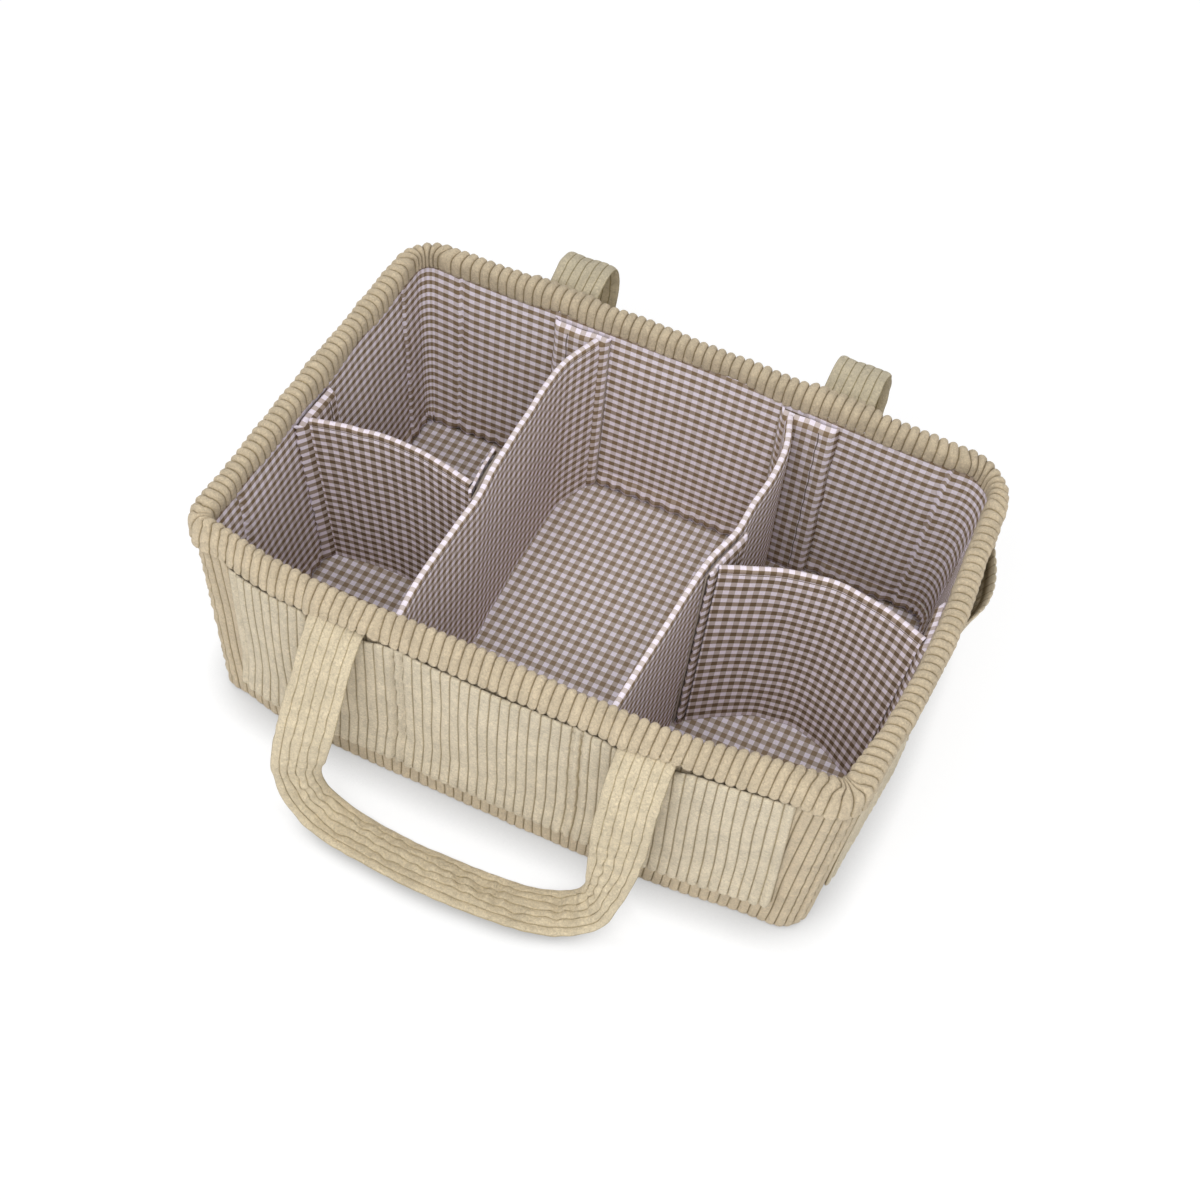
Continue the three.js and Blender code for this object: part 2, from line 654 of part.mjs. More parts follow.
function build_cross_divider(name, cross, long) {
  const rise = (level) => (level - divider_low) / (divider_top - divider_low);
  const outer_place = (level) => cross.side.along.y * lerp(cross.outer_low, cross.outer_top, rise(level));
  const inner_place = (level) => lerp(cross.inner_low, cross.inner_top, rise(level));
  const path = (share, level) => {
    const outer_share = share_at(cross.side, outer_place(level), flange_middle, level);
    const outer = wall_point(cross.side, outer_share, flange_middle, level);
    const inner_share = share_of_path(long, inner_place(level), level);
    const inner = beside(long, inner_share, level, cross.hand * (face_flange + flange_cloth / 2));
    const point = outer.lerp(inner, share);
    point.y += lerp(cross.bow_low, cross.bow_top, rise(level)) * Math.sin(share * Math.PI);
    return point;
  };
  const strip = (start, end, [low, high], near, thickness) => {
    const spots = steps(start, end, flange_steps).map((reach) => (level) => (
      share_of_path(long, inner_place(level) + reach, level)));
    const levels = steps(low, high, slant_steps);
    return upright_sheet(long, spots, levels, cross.hand * near, cross.hand * (near + thickness));
  };
  const outer_end = wall_joint(cross.side, outer_place, cross.side.along.y);
  const inner_flange = strip(-lip_length, tab_length, full_levels, face_flange, flange_cloth);
  const inner_hook = strip(tape_margin, tab_length - tape_margin / 2, hook_levels, face_hook, hook_tape);
  const inner_loop = strip(-lip_length, tab_length + tape_margin, loop_levels, face_loop, thin_loop_tape);
  divider(`${name}_cross_divider`, path, [outer_end.flange, inner_flange]);
  add(`${name}_cross_divider_outer_hook_tape`, outer_end.hook, tape_cloth);
  add(`${name}_cross_divider_inner_hook_tape`, inner_hook, tape_cloth);
  add(`${name}_end_loop_tape`, outer_end.loop, tape_cloth);
  add(`${name}_divider_loop_tape`, inner_loop, tape_cloth);
}

build_tub();
build_hem();
build_pockets();
build_straps();
const left_path = build_long_divider('left', left_long);
const right_path = build_long_divider('right', right_long);
build_cross_divider('left', left_cross, left_path);
build_cross_divider('right', right_cross, right_path);

export default caddy;
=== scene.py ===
import json
import math

import bpy
import numpy as np
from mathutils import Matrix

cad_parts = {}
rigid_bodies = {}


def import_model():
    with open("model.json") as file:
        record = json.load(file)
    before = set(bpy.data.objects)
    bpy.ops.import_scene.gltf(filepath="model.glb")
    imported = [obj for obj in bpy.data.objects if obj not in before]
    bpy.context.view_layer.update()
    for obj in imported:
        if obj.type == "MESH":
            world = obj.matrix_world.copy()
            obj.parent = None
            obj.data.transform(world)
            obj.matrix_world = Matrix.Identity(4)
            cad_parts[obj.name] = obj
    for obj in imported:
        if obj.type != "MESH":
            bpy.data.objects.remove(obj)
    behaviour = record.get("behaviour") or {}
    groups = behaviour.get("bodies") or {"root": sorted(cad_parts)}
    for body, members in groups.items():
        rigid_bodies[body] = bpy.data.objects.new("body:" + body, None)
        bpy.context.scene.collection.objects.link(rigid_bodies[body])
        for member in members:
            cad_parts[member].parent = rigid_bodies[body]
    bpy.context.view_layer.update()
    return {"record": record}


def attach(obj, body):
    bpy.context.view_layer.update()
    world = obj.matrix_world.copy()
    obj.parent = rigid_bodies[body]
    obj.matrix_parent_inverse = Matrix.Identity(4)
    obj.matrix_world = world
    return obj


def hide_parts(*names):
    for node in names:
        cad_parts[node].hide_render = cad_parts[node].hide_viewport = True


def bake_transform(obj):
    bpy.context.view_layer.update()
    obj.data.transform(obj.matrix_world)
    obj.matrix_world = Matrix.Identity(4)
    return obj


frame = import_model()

# Camera
# A studio camera stands in front of the caddy and to its right, and looks steeply down into it.
# Its place and lens were fitted to the rim, the base and the wall edges.
fitted_place = (0.24107, -0.66640, 0.99584)
fitted_angles = (36.7122, -3.8722, 25.0257)
fitted_lens = 61.93
bpy.ops.object.select_all(action="DESELECT")
bpy.ops.object.camera_add(location=fitted_place, rotation=[math.radians(angle) for angle in fitted_angles])
camera = bpy.context.object
camera.data.sensor_width = 36
camera.data.lens = fitted_lens
camera.data.clip_start = 0.01
bpy.context.scene.camera = camera
bpy.context.scene.view_settings.view_transform = "Standard"


# Floor and light
# A seamless white table in a white room, with one broad soft lamp above the front. To the camera
# the table adds some white of its own, so that only the shadow at its foot shows. Close under the
# caddy less of that white is added, dimmed by ambient occlusion: a painted shadow at its foot.
table_glow = 0.8
painted_shadow_reach = 0.03
room_light = 0.78
room_seen = 1.0


def linear(hex_colour):
    """An sRGB colour such as #rrggbb as Blender's linear red, green, blue and alpha."""
    parts = [int(hex_colour[i:i + 2], 16) / 255 for i in (1, 3, 5)]
    return (*[c / 12.92 if c <= 0.04045 else ((c + 0.055) / 1.055) ** 2.4 for c in parts], 1)


def node(tree, kind, settings=None, links=None):
    """Add a node. Settings are its inputs or properties, and links join its inputs to sockets."""
    made = tree.nodes.new(kind)
    for key, value in (settings or {}).items():
        if isinstance(key, int) or key in made.inputs:
            made.inputs[key].default_value = value
        else:
            setattr(made, key, value)
    for key, source in (links or {}).items():
        tree.links.new(source, made.inputs[key])
    return made


def new_material(name):
    material = bpy.data.materials.new(name)
    material.use_nodes = True
    material.node_tree.nodes.clear()
    return material, material.node_tree


def finish_material(tree, shade):
    node(tree, "ShaderNodeOutputMaterial", links={"Surface": shade.outputs[0]})


white_table, tree = new_material("white_table")
path = node(tree, "ShaderNodeLightPath")
glow_share = node(tree, "ShaderNodeMath", {"operation": "MULTIPLY", 1: table_glow},
                  {0: path.outputs["Is Camera Ray"]})
# Ambient occlusion dims the table's own white close under the caddy: a painted shadow.
open_sky = node(tree, "ShaderNodeAmbientOcclusion", {"samples": 8, "Distance": painted_shadow_reach})
glow_with_painted_shadow = node(tree, "ShaderNodeMapRange",
                  {"From Min": 0.3, "From Max": 0.88, "To Min": 0.45, "To Max": 1.04},
                  {"Value": open_sky.outputs["AO"]})
paint = node(tree, "ShaderNodeBsdfDiffuse", {"Color": linear("#fbfbfb")})
glow = node(tree, "ShaderNodeEmission", {"Color": (1, 1, 1, 1)}, {"Strength": glow_with_painted_shadow.outputs[0]})
finish_material(tree, node(tree, "ShaderNodeMixShader",
                           links={0: glow_share.outputs[0], 1: paint.outputs[0], 2: glow.outputs[0]}))
bpy.ops.mesh.primitive_plane_add(size=6)
table = bpy.context.object
table.name = "table"
table.data.materials.append(white_table)

world = bpy.data.worlds.new("pale_room")
bpy.context.scene.world = world
world.use_nodes = True
tree = world.node_tree
tree.nodes.clear()
path = node(tree, "ShaderNodeLightPath")
seen = path.outputs["Is Camera Ray"]
for ray in ("Is Glossy Ray", "Is Transmission Ray"):
    either = node(tree, "ShaderNodeMath", {"operation": "MAXIMUM"}, {0: seen, 1: path.outputs[ray]})
    seen = either.outputs[0]
strength = node(tree, "ShaderNodeMapRange", {"To Min": room_light, "To Max": room_seen}, {"Value": seen})
room = node(tree, "ShaderNodeBackground", {"Color": (1, 1, 1, 1)}, {"Strength": strength.outputs[0]})
node(tree, "ShaderNodeOutputWorld", links={"Surface": room.outputs[0]})

bpy.ops.object.light_add(type="AREA", location=(0.12, -0.85, 1.3))
lamp = bpy.context.object
lamp.name = "broad_lamp"
lamp.data.size = 0.8
lamp.data.energy = 11
lamp.rotation_euler = (math.radians(33), 0, math.radians(8))


# Tub walls
# Thick cotton corduroy, sewn over a foam sheet on each side. The ribs stand upright. Four pieces
# meet in a puckered seam at the middle of each corner and are sewn to the base below.
height = 0.1505
half_lengths = (0.177, 0.188)
half_widths = (0.1205, 0.1235)
front_left = dict(across=-1, deep=-1, rim_longer=0.0003, rim_wider=0.0017, base_longer=0.0045, round=0.012)
front_right = dict(across=1, deep=-1, rim_longer=0.003, rim_wider=0.0017, base_longer=0.002, round=0.017)
back_right = dict(across=1, deep=1, rim_longer=0.005, rim_wider=-0.0035, base_longer=0, round=0.033)
back_left = dict(across=-1, deep=1, rim_longer=-0.005, rim_wider=-0.0005, base_longer=0, round=0.025)
walls = {
    "front": dict(along=(1, 0), out=(0, -1), bulge=0.0086, fullness=(5, 2), ends=(front_left, front_right)),
    "right": dict(along=(0, 1), out=(1, 0), bulge=0.005, fullness=(1, 1), ends=(front_right, back_right)),
    "back": dict(along=(-1, 0), out=(0, 1), bulge=0.0025, fullness=(1, 1), ends=(back_right, back_left)),
    "left": dict(along=(0, -1), out=(-1, 0), bulge=0.0005, fullness=(1, 1), ends=(back_left, front_left)),
}
tightest_round = 0.004
shares_per_wall = 3
wall_cloth_top = 0.1390
wall_cloth_thickness = 0.0014
wale = 0.00564
wale_spots = np.array([0, 0.05, 0.13, 0.28, 0.5, 0.72, 0.87, 0.95])


def wall_point(side, share, depth, level, crisper=0):
    """Shares -1 to 1 are a wall's straight run and 1 to 2 the corner after it; depth is inwards."""
    wall = walls[side]
    along, out = np.array(wall["along"], float), np.array(wall["out"], float)
    share, depth, level = np.broadcast_arrays(*(np.asarray(x, float) for x in (share, depth, level)))
    rise = level / height
    ends, rounds = [], []
    for hand, corner in zip((-1, 1), wall["ends"]):
        length = half_lengths[0] + (half_lengths[1] - half_lengths[0]) * rise
        length = length + corner["base_longer"] + (corner["rim_longer"] - corner["base_longer"]) * rise
        width = half_widths[0] + (half_widths[1] - half_widths[0] + corner["rim_wider"]) * rise
        turned = np.maximum(corner["round"] - depth - crisper, tightest_round)
        point = np.stack([corner["across"] * length, corner["deep"] * width], -1)
        ends.append(point - (hand * (depth + turned))[..., None] * along - depth[..., None] * out)
        rounds.append(turned)
    run = np.clip(share, -1, 1)
    turn = (np.abs(share) - np.abs(run)) * np.pi / 2
    turned = np.where(share > 0, rounds[1], rounds[0])
    fullness = np.where(share > 0, wall["fullness"][1], wall["fullness"][0])
    bow = wall["bulge"] * np.cos(np.abs(run) ** fullness * np.pi / 2) ** 2
    flat = ends[0] + (ends[1] - ends[0]) * ((run + 1) / 2)[..., None]
    flat = flat + (np.sign(share) * turned * np.sin(turn))[..., None] * along
    flat = flat + (bow + turned * (np.cos(turn) - 1))[..., None] * out
    return np.concatenate([flat, level[..., None]], -1)


def place_of(side, share, depth, level, crisper=0):
    """How far along its wall a point lies, from the tub's middle."""
    return wall_point(side, share, depth, level, crisper)[..., :2] @ np.array(walls[side]["along"], float)


def share_at(side, place, depth, level, crisper=0):
    """The share of a wall at a place along it, searched in from both ends."""
    place, depth, level = np.broadcast_arrays(*(np.asarray(x, float) for x in (place, depth, level)))
    low, high = np.full(place.shape, -1.95), np.full(place.shape, 1.95)
    for _ in range(40):
        middle = (low + high) / 2
        less = place_of(side, middle, depth, level, crisper) < place
        low, high = np.where(less, middle, low), np.where(less, high, middle)
    return (low + high) / 2


def run_along(points):
    """The length from the first point to each point."""
    return np.concatenate([[0], np.cumsum(np.linalg.norm(np.diff(points, axis=0), axis=1))])


def lay_along(side, parts, depth, level):
    """Shares at parts of the length from one corner's middle to the next, and that length."""
    fine = np.linspace(-1.5, 1.5, 2000)
    points = wall_point(side, fine, depth, level)
    run = run_along(points)
    return np.interp(np.asarray(parts) * run[-1], run, fine), run[-1]


def catmull_rom(before, start, end, after, part):
    """A smooth curve from start to end, with the numbers before and after them to guide it."""
    bend = 2 * before - 5 * start + 4 * end - after
    twist = 3 * start - before - 3 * end + after
    return 0.5 * (2 * start + (end - before) * part + bend * part ** 2 + twist * part ** 3)


def soft_noise(shape, cells, seed):
    """Smooth seeded bumps from -1 to 1 on a grid, with so many cells down and across."""
    picker = np.random.default_rng(seed)
    made = picker.uniform(-1, 1, (cells[0] + 3, cells[1] + 3))
    for axis in (0, 1):
        spot = np.linspace(0, cells[axis], shape[axis])
        base = np.minimum(spot.astype(int), cells[axis] - 1)
        four = [np.take(made, base + k, axis=axis) for k in range(4)]
        made = catmull_rom(*four, (spot - base)[:, None] if axis == 0 else (spot - base)[None, :])
    return made


def hump(distance, width):
    """1 at no distance, fading to 0 over about twice the width."""
    return np.exp(-(distance / width) ** 2)


def ramp(distance, width):
    """0 up to no distance, rising straight to 1 at the width."""
    return np.clip(distance / width, 0, 1)


def eased(distance, width):
    """As a ramp, but with soft ends."""
    part = ramp(distance, width)
    return part ** 2 * (3 - 2 * part)


def wale_phases(wales):
    """Where points lie across a row of wales, counted in wales, closer together at the grooves."""
    return np.concatenate([(np.arange(wales)[:, None] + wale_spots).ravel(), [wales]])


def rib_rise(phase, breadth=3.2):
    """Height of a rib from 0 in its narrow groove to 1 over its crest."""
    return np.sqrt(1 - np.abs(2 * (phase % 1) - 1) ** breadth)


def each_wale(phase, seed):
    """A seeded number from -1 to 1 for each rib."""
    numbers = np.random.default_rng(seed).uniform(-1, 1, int(phase.max()) + 2)
    return numbers[phase.astype(int)]


def thicken(piece, thickness, offset=-1):
    bpy.ops.object.modifier_add(type="SOLIDIFY")
    piece.modifiers[-1].thickness = thickness
    piece.modifiers[-1].offset = offset
    bpy.ops.object.modifier_apply(modifier=piece.modifiers[-1].name)
    return piece


def cloth_grid(name, points, weave, thickness=0, ring=False):
    """A grid primitive laid along the given points of a cloth."""
    rows, columns = points.shape[:2]
    bpy.ops.object.select_all(action="DESELECT")
    bpy.ops.mesh.primitive_grid_add(x_subdivisions=columns - 1, y_subdivisions=rows - 1, size=1)
    piece = bpy.context.object
    piece.name = name
    piece.data.name = name
    piece.data.vertices.foreach_set("co", np.ascontiguousarray(points, dtype=np.float32).ravel())
    layer = piece.data.uv_layers[0]
    layer.name = "weave"
    corners = np.empty(len(piece.data.loops), dtype=np.int32)
    piece.data.loops.foreach_get("vertex_index", corners)
    layer.data.foreach_set("uv", weave.reshape(-1, 2)[corners].astype(np.float32).ravel())
    piece.data.update()
    if ring:
        bpy.ops.object.mode_set(mode="EDIT")
        bpy.ops.mesh.select_all(action="SELECT")
        bpy.ops.mesh.remove_doubles(threshold=1e-6)
        bpy.ops.object.mode_set(mode="OBJECT")
    if thickness:
        thicken(piece, thickness)
    bpy.ops.object.shade_smooth()
    return piece


def weave_of(u, v):
    return np.stack(np.broadcast_arrays(u, v), -1)


def dress(piece, material, slot, body, *nodes):
    """Give a piece its material, hide the parts it stands for, and attach it to the body that carries it,
    if any.
    """
    piece.data.materials.append(material)
    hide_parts(*nodes)
    if body:
        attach(piece, body)


def grained(tree, noise, from_low, from_high, dark, light):
    """Noise in the object's own coordinates, and the tones from dark to light that it makes."""
    here = node(tree, "ShaderNodeTexCoord")
    grain = node(tree, "ShaderNodeTexNoise", noise, {"Vector": here.outputs["Object"]})
    tone = node(tree, "ShaderNodeMapRange",
                {"From Min": from_low, "From Max": from_high, "To Min": dark, "To Max": light},
                {"Value": grain.outputs[0]})
    return grain.outputs[0], tone.outputs[0]


def finish_cloth(tree, colour, tone, grain, strength, distance, settings):
    """Close a material as matt cloth: a colour times a tone, with its grain raised as fine bumps."""
    toned = node(tree, "ShaderNodeVectorMath", {"operation": "SCALE"}, {0: colour, "Scale": tone})
    bump = node(tree, "ShaderNodeBump", {"Strength": strength, "Distance": distance}, {"Height": grain})
    finish_material(tree, node(tree, "ShaderNodeBsdfPrincipled", settings,
                               {"Base Color": toned.outputs[0], "Normal": bump.outputs[0]}))


def repeats(tree, axis, per_unit, low, high):
    """Soft stripes along an axis of the weave coordinate: 0 at each whole repeat and 1 between two."""
    lay = node(tree, "ShaderNodeUVMap", {"uv_map": "weave"})
    parts = node(tree, "ShaderNodeSeparateXYZ", links={0: lay.outputs[0]})
    count = node(tree, "ShaderNodeMath", {"operation": "MULTIPLY", 1: per_unit}, {0: parts.outputs[axis]})
    off = node(tree, "ShaderNodeMath", {"operation": "PINGPONG", 1: 0.5}, {0: count.outputs[0]})
    stripe = node(tree, "ShaderNodeMapRange",
                  {"interpolation_type": "SMOOTHSTEP", "From Min": low, "From Max": high},
                  {"Value": off.outputs[0]})
    return stripe.outputs[0]


def corduroy(name, crest, groove):
    """Wide-wale cotton corduroy: a matt cut pile in broad ribs, rubbed lighter and darker in small
    flecks, with a thin darker line where two ribs meet, which is painted shade in the groove. Its weave
    coordinate counts ribs."""
    material, tree = new_material(name)
    fleck, fleck_tone = grained(
        tree, {"Scale": 780.0, "Detail": 3.0, "Roughness": 0.75, "Distortion": 0.9}, 0.32, 0.68, 0.76, 1.12)
    nap_tone = grained(tree, {"Scale": 75.0, "Detail": 3.0, "Distortion": 0.8}, 0.35, 0.65, 0.91, 1.05)[1]
    tone = node(tree, "ShaderNodeMath", {"operation": "MULTIPLY"}, {0: fleck_tone, 1: nap_tone})
    # The groove colour darkens the line where two ribs meet: painted shade in the groove.
    cloth = node(tree, "ShaderNodeMix", {"data_type": "RGBA", 6: linear(groove), 7: linear(crest)},
                 {0: repeats(tree, 0, 1, 0.0, 0.12)})
    finish_cloth(tree, cloth.outputs[2], tone.outputs[0], fleck, 1.0, 0.0012,
                 {"Roughness": 0.95, "Sheen Weight": 0.12, "Sheen Roughness": 0.5,
                  "Specular IOR Level": 0.15})
    return material


sand_corduroy = corduroy("sand_corduroy", "#d4c3a6", "#a6936f")

for number, side in enumerate(walls):
    length = lay_along(side, [0, 1], 0, height / 2)[1]
    wales = int(round(length / wale))
    phase = wale_phases(wales)
    foot_levels = [0.0007, 0.0012, 0.0024, 0.0045]
    levels = np.concatenate([foot_levels, np.linspace(0.008, wall_cloth_top, 30)])[:, None]
    grid = (len(levels), len(phase))
    from_seam = np.minimum(phase, wales - phase) * wale
    wander = 0.0006 * soft_noise(grid, (5, 26), 3 + number) * ramp(from_seam, 0.01)
    shares = lay_along(side, phase / wales, 0, height / 2)[0] + wander * shares_per_wall / length
    rise = rib_rise(phase)[None, :]
    pucker = np.sin(levels * 2 * np.pi / 0.012 + 2 * soft_noise(grid, (6, 9), 13 + number))
    gathers = 0.0006 * pucker * hump(from_seam, 0.009) * ramp(from_seam, 0.002)
    seam = 0.0010 * hump(from_seam, 0.0016) + gathers
    under_hem = 0.0014 * ramp(levels - 0.131, 0.004)
    foot = 0.0022 * hump(levels - foot_levels[0], 0.0009)
    uneven = 0.0004 * soft_noise(grid, (4, 24), 23 + number) * ramp(from_seam, 0.01)
    depth = 0.0014 - 0.0013 * rise + uneven + seam + (foot + under_hem)
    level_here = levels + 0.0011 * (1 - rise) * hump(levels, 0.004)
    piece = cloth_grid(f"{side}_wall_cloth", wall_point(side, shares, depth, level_here),
                       weave_of(phase[None, :], levels), wall_cloth_thickness)
    dress(piece, sand_corduroy, "corduroy", "tub", f"{side}_cloth")


# Foam sheets
# A sheet of soft foam stands inside each wall and gives it its fullness. It ends inside the hem
# and in the corners, where the lining pulls it flat.
foam_low = 0.0070
foam_high = 0.1425
foam_outer_depth = 0.0032
foam_middle_depth = 0.0045
foam_inner_depth = 0.0060


def inner_crisp(level):
    """How much tighter the corners turn inside than outside: less towards the rim."""
    return 0.012 - 0.004 * np.clip(level / height, 0, 1)


def plain_woven(name, colour, scale, roughness):
    """A plain matt surface with a fine even grain."""
    material, tree = new_material(name)
    paint = node(tree, "ShaderNodeRGB")
    paint.outputs[0].default_value = linear(colour)
    grain, tone = grained(tree, {"Scale": scale, "Detail": 3.0}, 0.3, 0.7, 0.9, 1.05)
    finish_cloth(tree, paint.outputs[0], tone, grain, 0.4, 0.0004,
                 {"Roughness": roughness, "Specular IOR Level": 0.2})
    return material


def close_ends():
    """Cap the open ends of the piece just made."""
    bpy.ops.object.mode_set(mode="EDIT")
    bpy.ops.mesh.select_all(action="SELECT")
    bpy.ops.mesh.fill_holes(sides=0)
    bpy.ops.mesh.normals_make_consistent(inside=False)
    bpy.ops.object.mode_set(mode="OBJECT")


open_foam = plain_woven("open_foam", "#f1efe8", 700.0, 0.95)

for side in walls:
    levels = np.linspace(foam_low, foam_high, 24)[:, None]
    parts = np.linspace(0.004, 0.996, 121)
    shares = lay_along(side, parts, foam_middle_depth, height / 2)[0][None, :]
    outer = wall_point(side, shares, foam_outer_depth, levels)
    inner = wall_point(side, shares, foam_inner_depth, levels[::-1], inner_crisp(levels[::-1]))
    points = np.concatenate([outer, inner, outer[:1]])
    piece = cloth_grid(f"{side}_foam_sheet", points, points[..., :2], ring=True)
    close_ends()
    dress(piece, open_foam, "foam_sheet", "tub", f"{side}_foam")


# Base
# The base cloth closes the tub below and is sewn to the walls. A stiff board lies on it, hidden
# once the lining is in. That board, those in the dividers and the tapes keep their own solids.
base_depth = 0.0016
base_level = 0.0006
base_thickness = 0.0012
hidden_materials = {"stiff_board": plain_woven("pressed_board", "#e6e1d5", 400.0, 0.75),
                    "tape_cloth": plain_woven("hidden_tape", "#a69a8f", 900.0, 0.9)}
for row in frame["record"]["subparts"]:
    if row["material_slot"] in hidden_materials:
        hidden = bpy.data.objects[row["node"]]
        hidden.data.materials.clear()
        hidden.data.materials.append(hidden_materials[row["material_slot"]])


def flat_sheet(name, depth, level, rings, repeat=1, crisper=0):
    """A level sheet inside the walls, in rings of points that shrink to its middle."""
    parts = np.linspace(0, 1, 121)[:-1]
    runs = {side: lay_along(side, parts, depth, level)[0] for side in walls}
    rows = [wall_point(side, run, depth, level, crisper) for side, run in runs.items()]
    outline = np.concatenate([*rows, rows[0][:1]])[None]
    middle = outline[:, :-1].mean(axis=1, keepdims=True)
    points = outline + (middle - outline) * np.linspace(0, 1, rings + 1)[:, None, None]
    return cloth_grid(name, points, weave_of(points[..., 0] / repeat, points[..., 1]), ring=True)


bottom = flat_sheet("base_underside_cloth", base_depth, base_level, 24, wale)
dress(thicken(bottom, base_thickness, 1), sand_corduroy, "corduroy", "tub", "base_cloth")


# Lining
# Fine gingham cotton, white crossed with brown in 3.2 mm checks. It is stitched through near
# every corner and above the floor, and hangs to the seam of the floor lining.
check = 0.0064
lining_depth = 0.0082
lining_low = 0.0066
lining_high = 0.1400
lining_thickness = 0.0007
floor_level = 0.0062
floor_crisp = 0.012
seam_from_corner = 0.029
stitch_level = 0.0185


def gingham(name, white, middle, dark, level_stripes=0.5):
    """Yarn-dyed cotton gingham: crisp checks, matt, with the threads just felt. Its weave coordinates
    are metres. On upright cloth the level stripes read stronger than the upright ones."""
    material, tree = new_material(name)
    across, upwards = (repeats(tree, axis, 1 / check, 0.235, 0.265) for axis in (0, 1))
    upright = node(tree, "ShaderNodeMath", {"operation": "MULTIPLY", 1: 1 - level_stripes}, {0: across})
    both = node(tree, "ShaderNodeMath", {"operation": "MULTIPLY_ADD", 1: level_stripes},
                {0: upwards, 2: upright.outputs[0]})
    tones = node(tree, "ShaderNodeValToRGB", links={0: both.outputs[0]})
    tones.color_ramp.elements[0].color = linear(white)
    tones.color_ramp.elements[1].color = linear(dark)
    tones.color_ramp.elements.new(0.5).color = linear(middle)
    threads, tone = grained(tree, {"Scale": 1400.0, "Detail": 2.0}, 0.3, 0.7, 0.93, 1.04)
    finish_cloth(tree, tones.outputs[0], tone, threads, 0.3, 0.0002,
                 {"Roughness": 0.9, "Specular IOR Level": 0.15})
    return material


floor_gingham = gingham("floor_gingham", "#efe9f5", "#bdb1a9", "#94826c")
wall_gingham = gingham("wall_gingham", "#f1e8f3", "#bfb0a5", "#88745c", 0.74)

for number, side in enumerate(walls):
    at_stitches = stitch_level + np.linspace(-0.002, 0.002, 5)
    levels = np.unique(np.concatenate([np.linspace(lining_low, lining_high, 42), at_stitches]))[:, None]
    columns = 481 if side in ("front", "back") else 341
    shares, length = lay_along(side, np.linspace(0, 1, columns), lining_depth, height / 2)
    run = np.linspace(-length / 2, length / 2, columns)[None, :]
    grid = (len(levels), columns)
    off_seam = np.abs(run) - (length / 2 - seam_from_corner)
    off_seam = off_seam + 0.0006 * soft_noise(grid, (9, 2), 31 + number)
    ruck = np.sin(levels * 2 * np.pi / 0.0075 + soft_noise(grid, (8, 3), 35 + number))
    near_floor = hump(levels - lining_low, 0.007)
    gather = 1 + np.sin(run * 2 * np.pi / 0.009 + 1.5 * soft_noise(grid, (2, 30), 39))
    off_stitches = levels - stitch_level - 0.0004 * soft_noise(grid, (1, 40), 41)
    stitch = -0.0009 * hump(off_stitches, 0.0012)
    seam = -0.0011 * hump(off_seam, 0.0011) + 0.0005 * ruck * hump(off_seam, 0.004)
    ripple = 0.0005 * soft_noise(grid, (5, 12), 11 + number)
    depth = lining_depth + ripple + 0.0009 * near_floor * gather + stitch + seam
    points = wall_point(side, shares[None, :], depth, levels, inner_crisp(levels))
    sideways = 0.0007 * ruck * hump(off_seam, 0.004)
    upwards = 0.0011 * np.abs(off_seam / 0.003) * hump(off_seam, 0.003) * np.sign(off_seam)
    lay = weave_of(run + sideways, levels + upwards)
    piece = cloth_grid(f"{side}_wall_lining", points[:, ::-1], lay[:, ::-1], lining_thickness)
    dress(piece, wall_gingham, "checked_cotton", "tub", f"{side}_lining")

inner_floor = flat_sheet("tub_floor_lining", lining_depth, floor_level, 40, crisper=floor_crisp)
dress(thicken(inner_floor, lining_thickness), floor_gingham, "checked_cotton", "tub", "floor_lining")


# Rim hem
# One strip of the same corduroy is folded over the rim and stitched through all layers. Its
# ribs run over the edge as round rolls, and it swells where the strap ends are sewn in under it.
strap_places = {"front": (-0.0905, 0.0835), "right": (), "back": (-0.087, 0.087), "left": ()}
strap_width = 0.031
strap_half_swell = 0.0162
hem_outer_foot = 0.1340
hem_inner_foot = 0.1370
hem_inner_depth = 0.0095
hem_corner_crisp = 0.007
hem_middle_level = 0.1395
hem_thickness = 0.0006
# Depth and level from the outer lower edge over the rim to the inner one, and how far ribs stand out.
hem_profile = np.array([
    (-0.0004, 0.1352, 0.2), (-0.0010, 0.1342, 0.6), (-0.0020, 0.1339, 1), (-0.0024, 0.1350, 1),
    (-0.0021, 0.1366, 1), (-0.0016, 0.1381, 1), (-0.0022, 0.1397, 1), (-0.0024, 0.1425, 1),
    (-0.0022, 0.1456, 1), (-0.0014, 0.1481, 1), (0.0000, 0.1497, 1), (0.0020, 0.1505, 1),
    (0.0043, 0.1506, 1), (0.0063, 0.1501, 1), (0.0080, 0.1489, 1), (0.0090, 0.1470, 1),
    (0.0094, 0.1445, 1), (0.0095, 0.1420, 1), (0.0095, 0.1396, 1), (0.0093, 0.1378, 1),
    (0.0088, 0.1370, 0.6), (0.0082, 0.1376, 0.2)])
# The same depths and levels along the front.
front_profile = np.array([
    (-0.0004, 0.1352), (-0.0010, 0.1342), (-0.0020, 0.1339), (-0.0025, 0.1350), (-0.0022, 0.1366),
    (-0.0014, 0.1381), (-0.0012, 0.1398), (-0.0004, 0.1420), (0.0010, 0.1444), (0.0024, 0.1466),
    (0.0038, 0.1485), (0.0051, 0.1498), (0.0064, 0.1504), (0.0077, 0.1501), (0.0088, 0.1490),
    (0.0095, 0.1471), (0.0097, 0.1446), (0.0097, 0.1420), (0.0096, 0.1396), (0.0094, 0.1378),
    (0.0088, 0.1370), (0.0082, 0.1376)])
hem_run = run_along(hem_profile[:, :2])


def front_part(side, shares):
    """How far the hem leans as it does along the front, where the rim is pressed thin on top."""
    if side == "back":
        return 0 * shares
    past = {"front": np.abs(shares) - 0.85, "right": shares + 2.15, "left": 2.15 - shares}[side]
    return 1 - eased(past, 1.3)


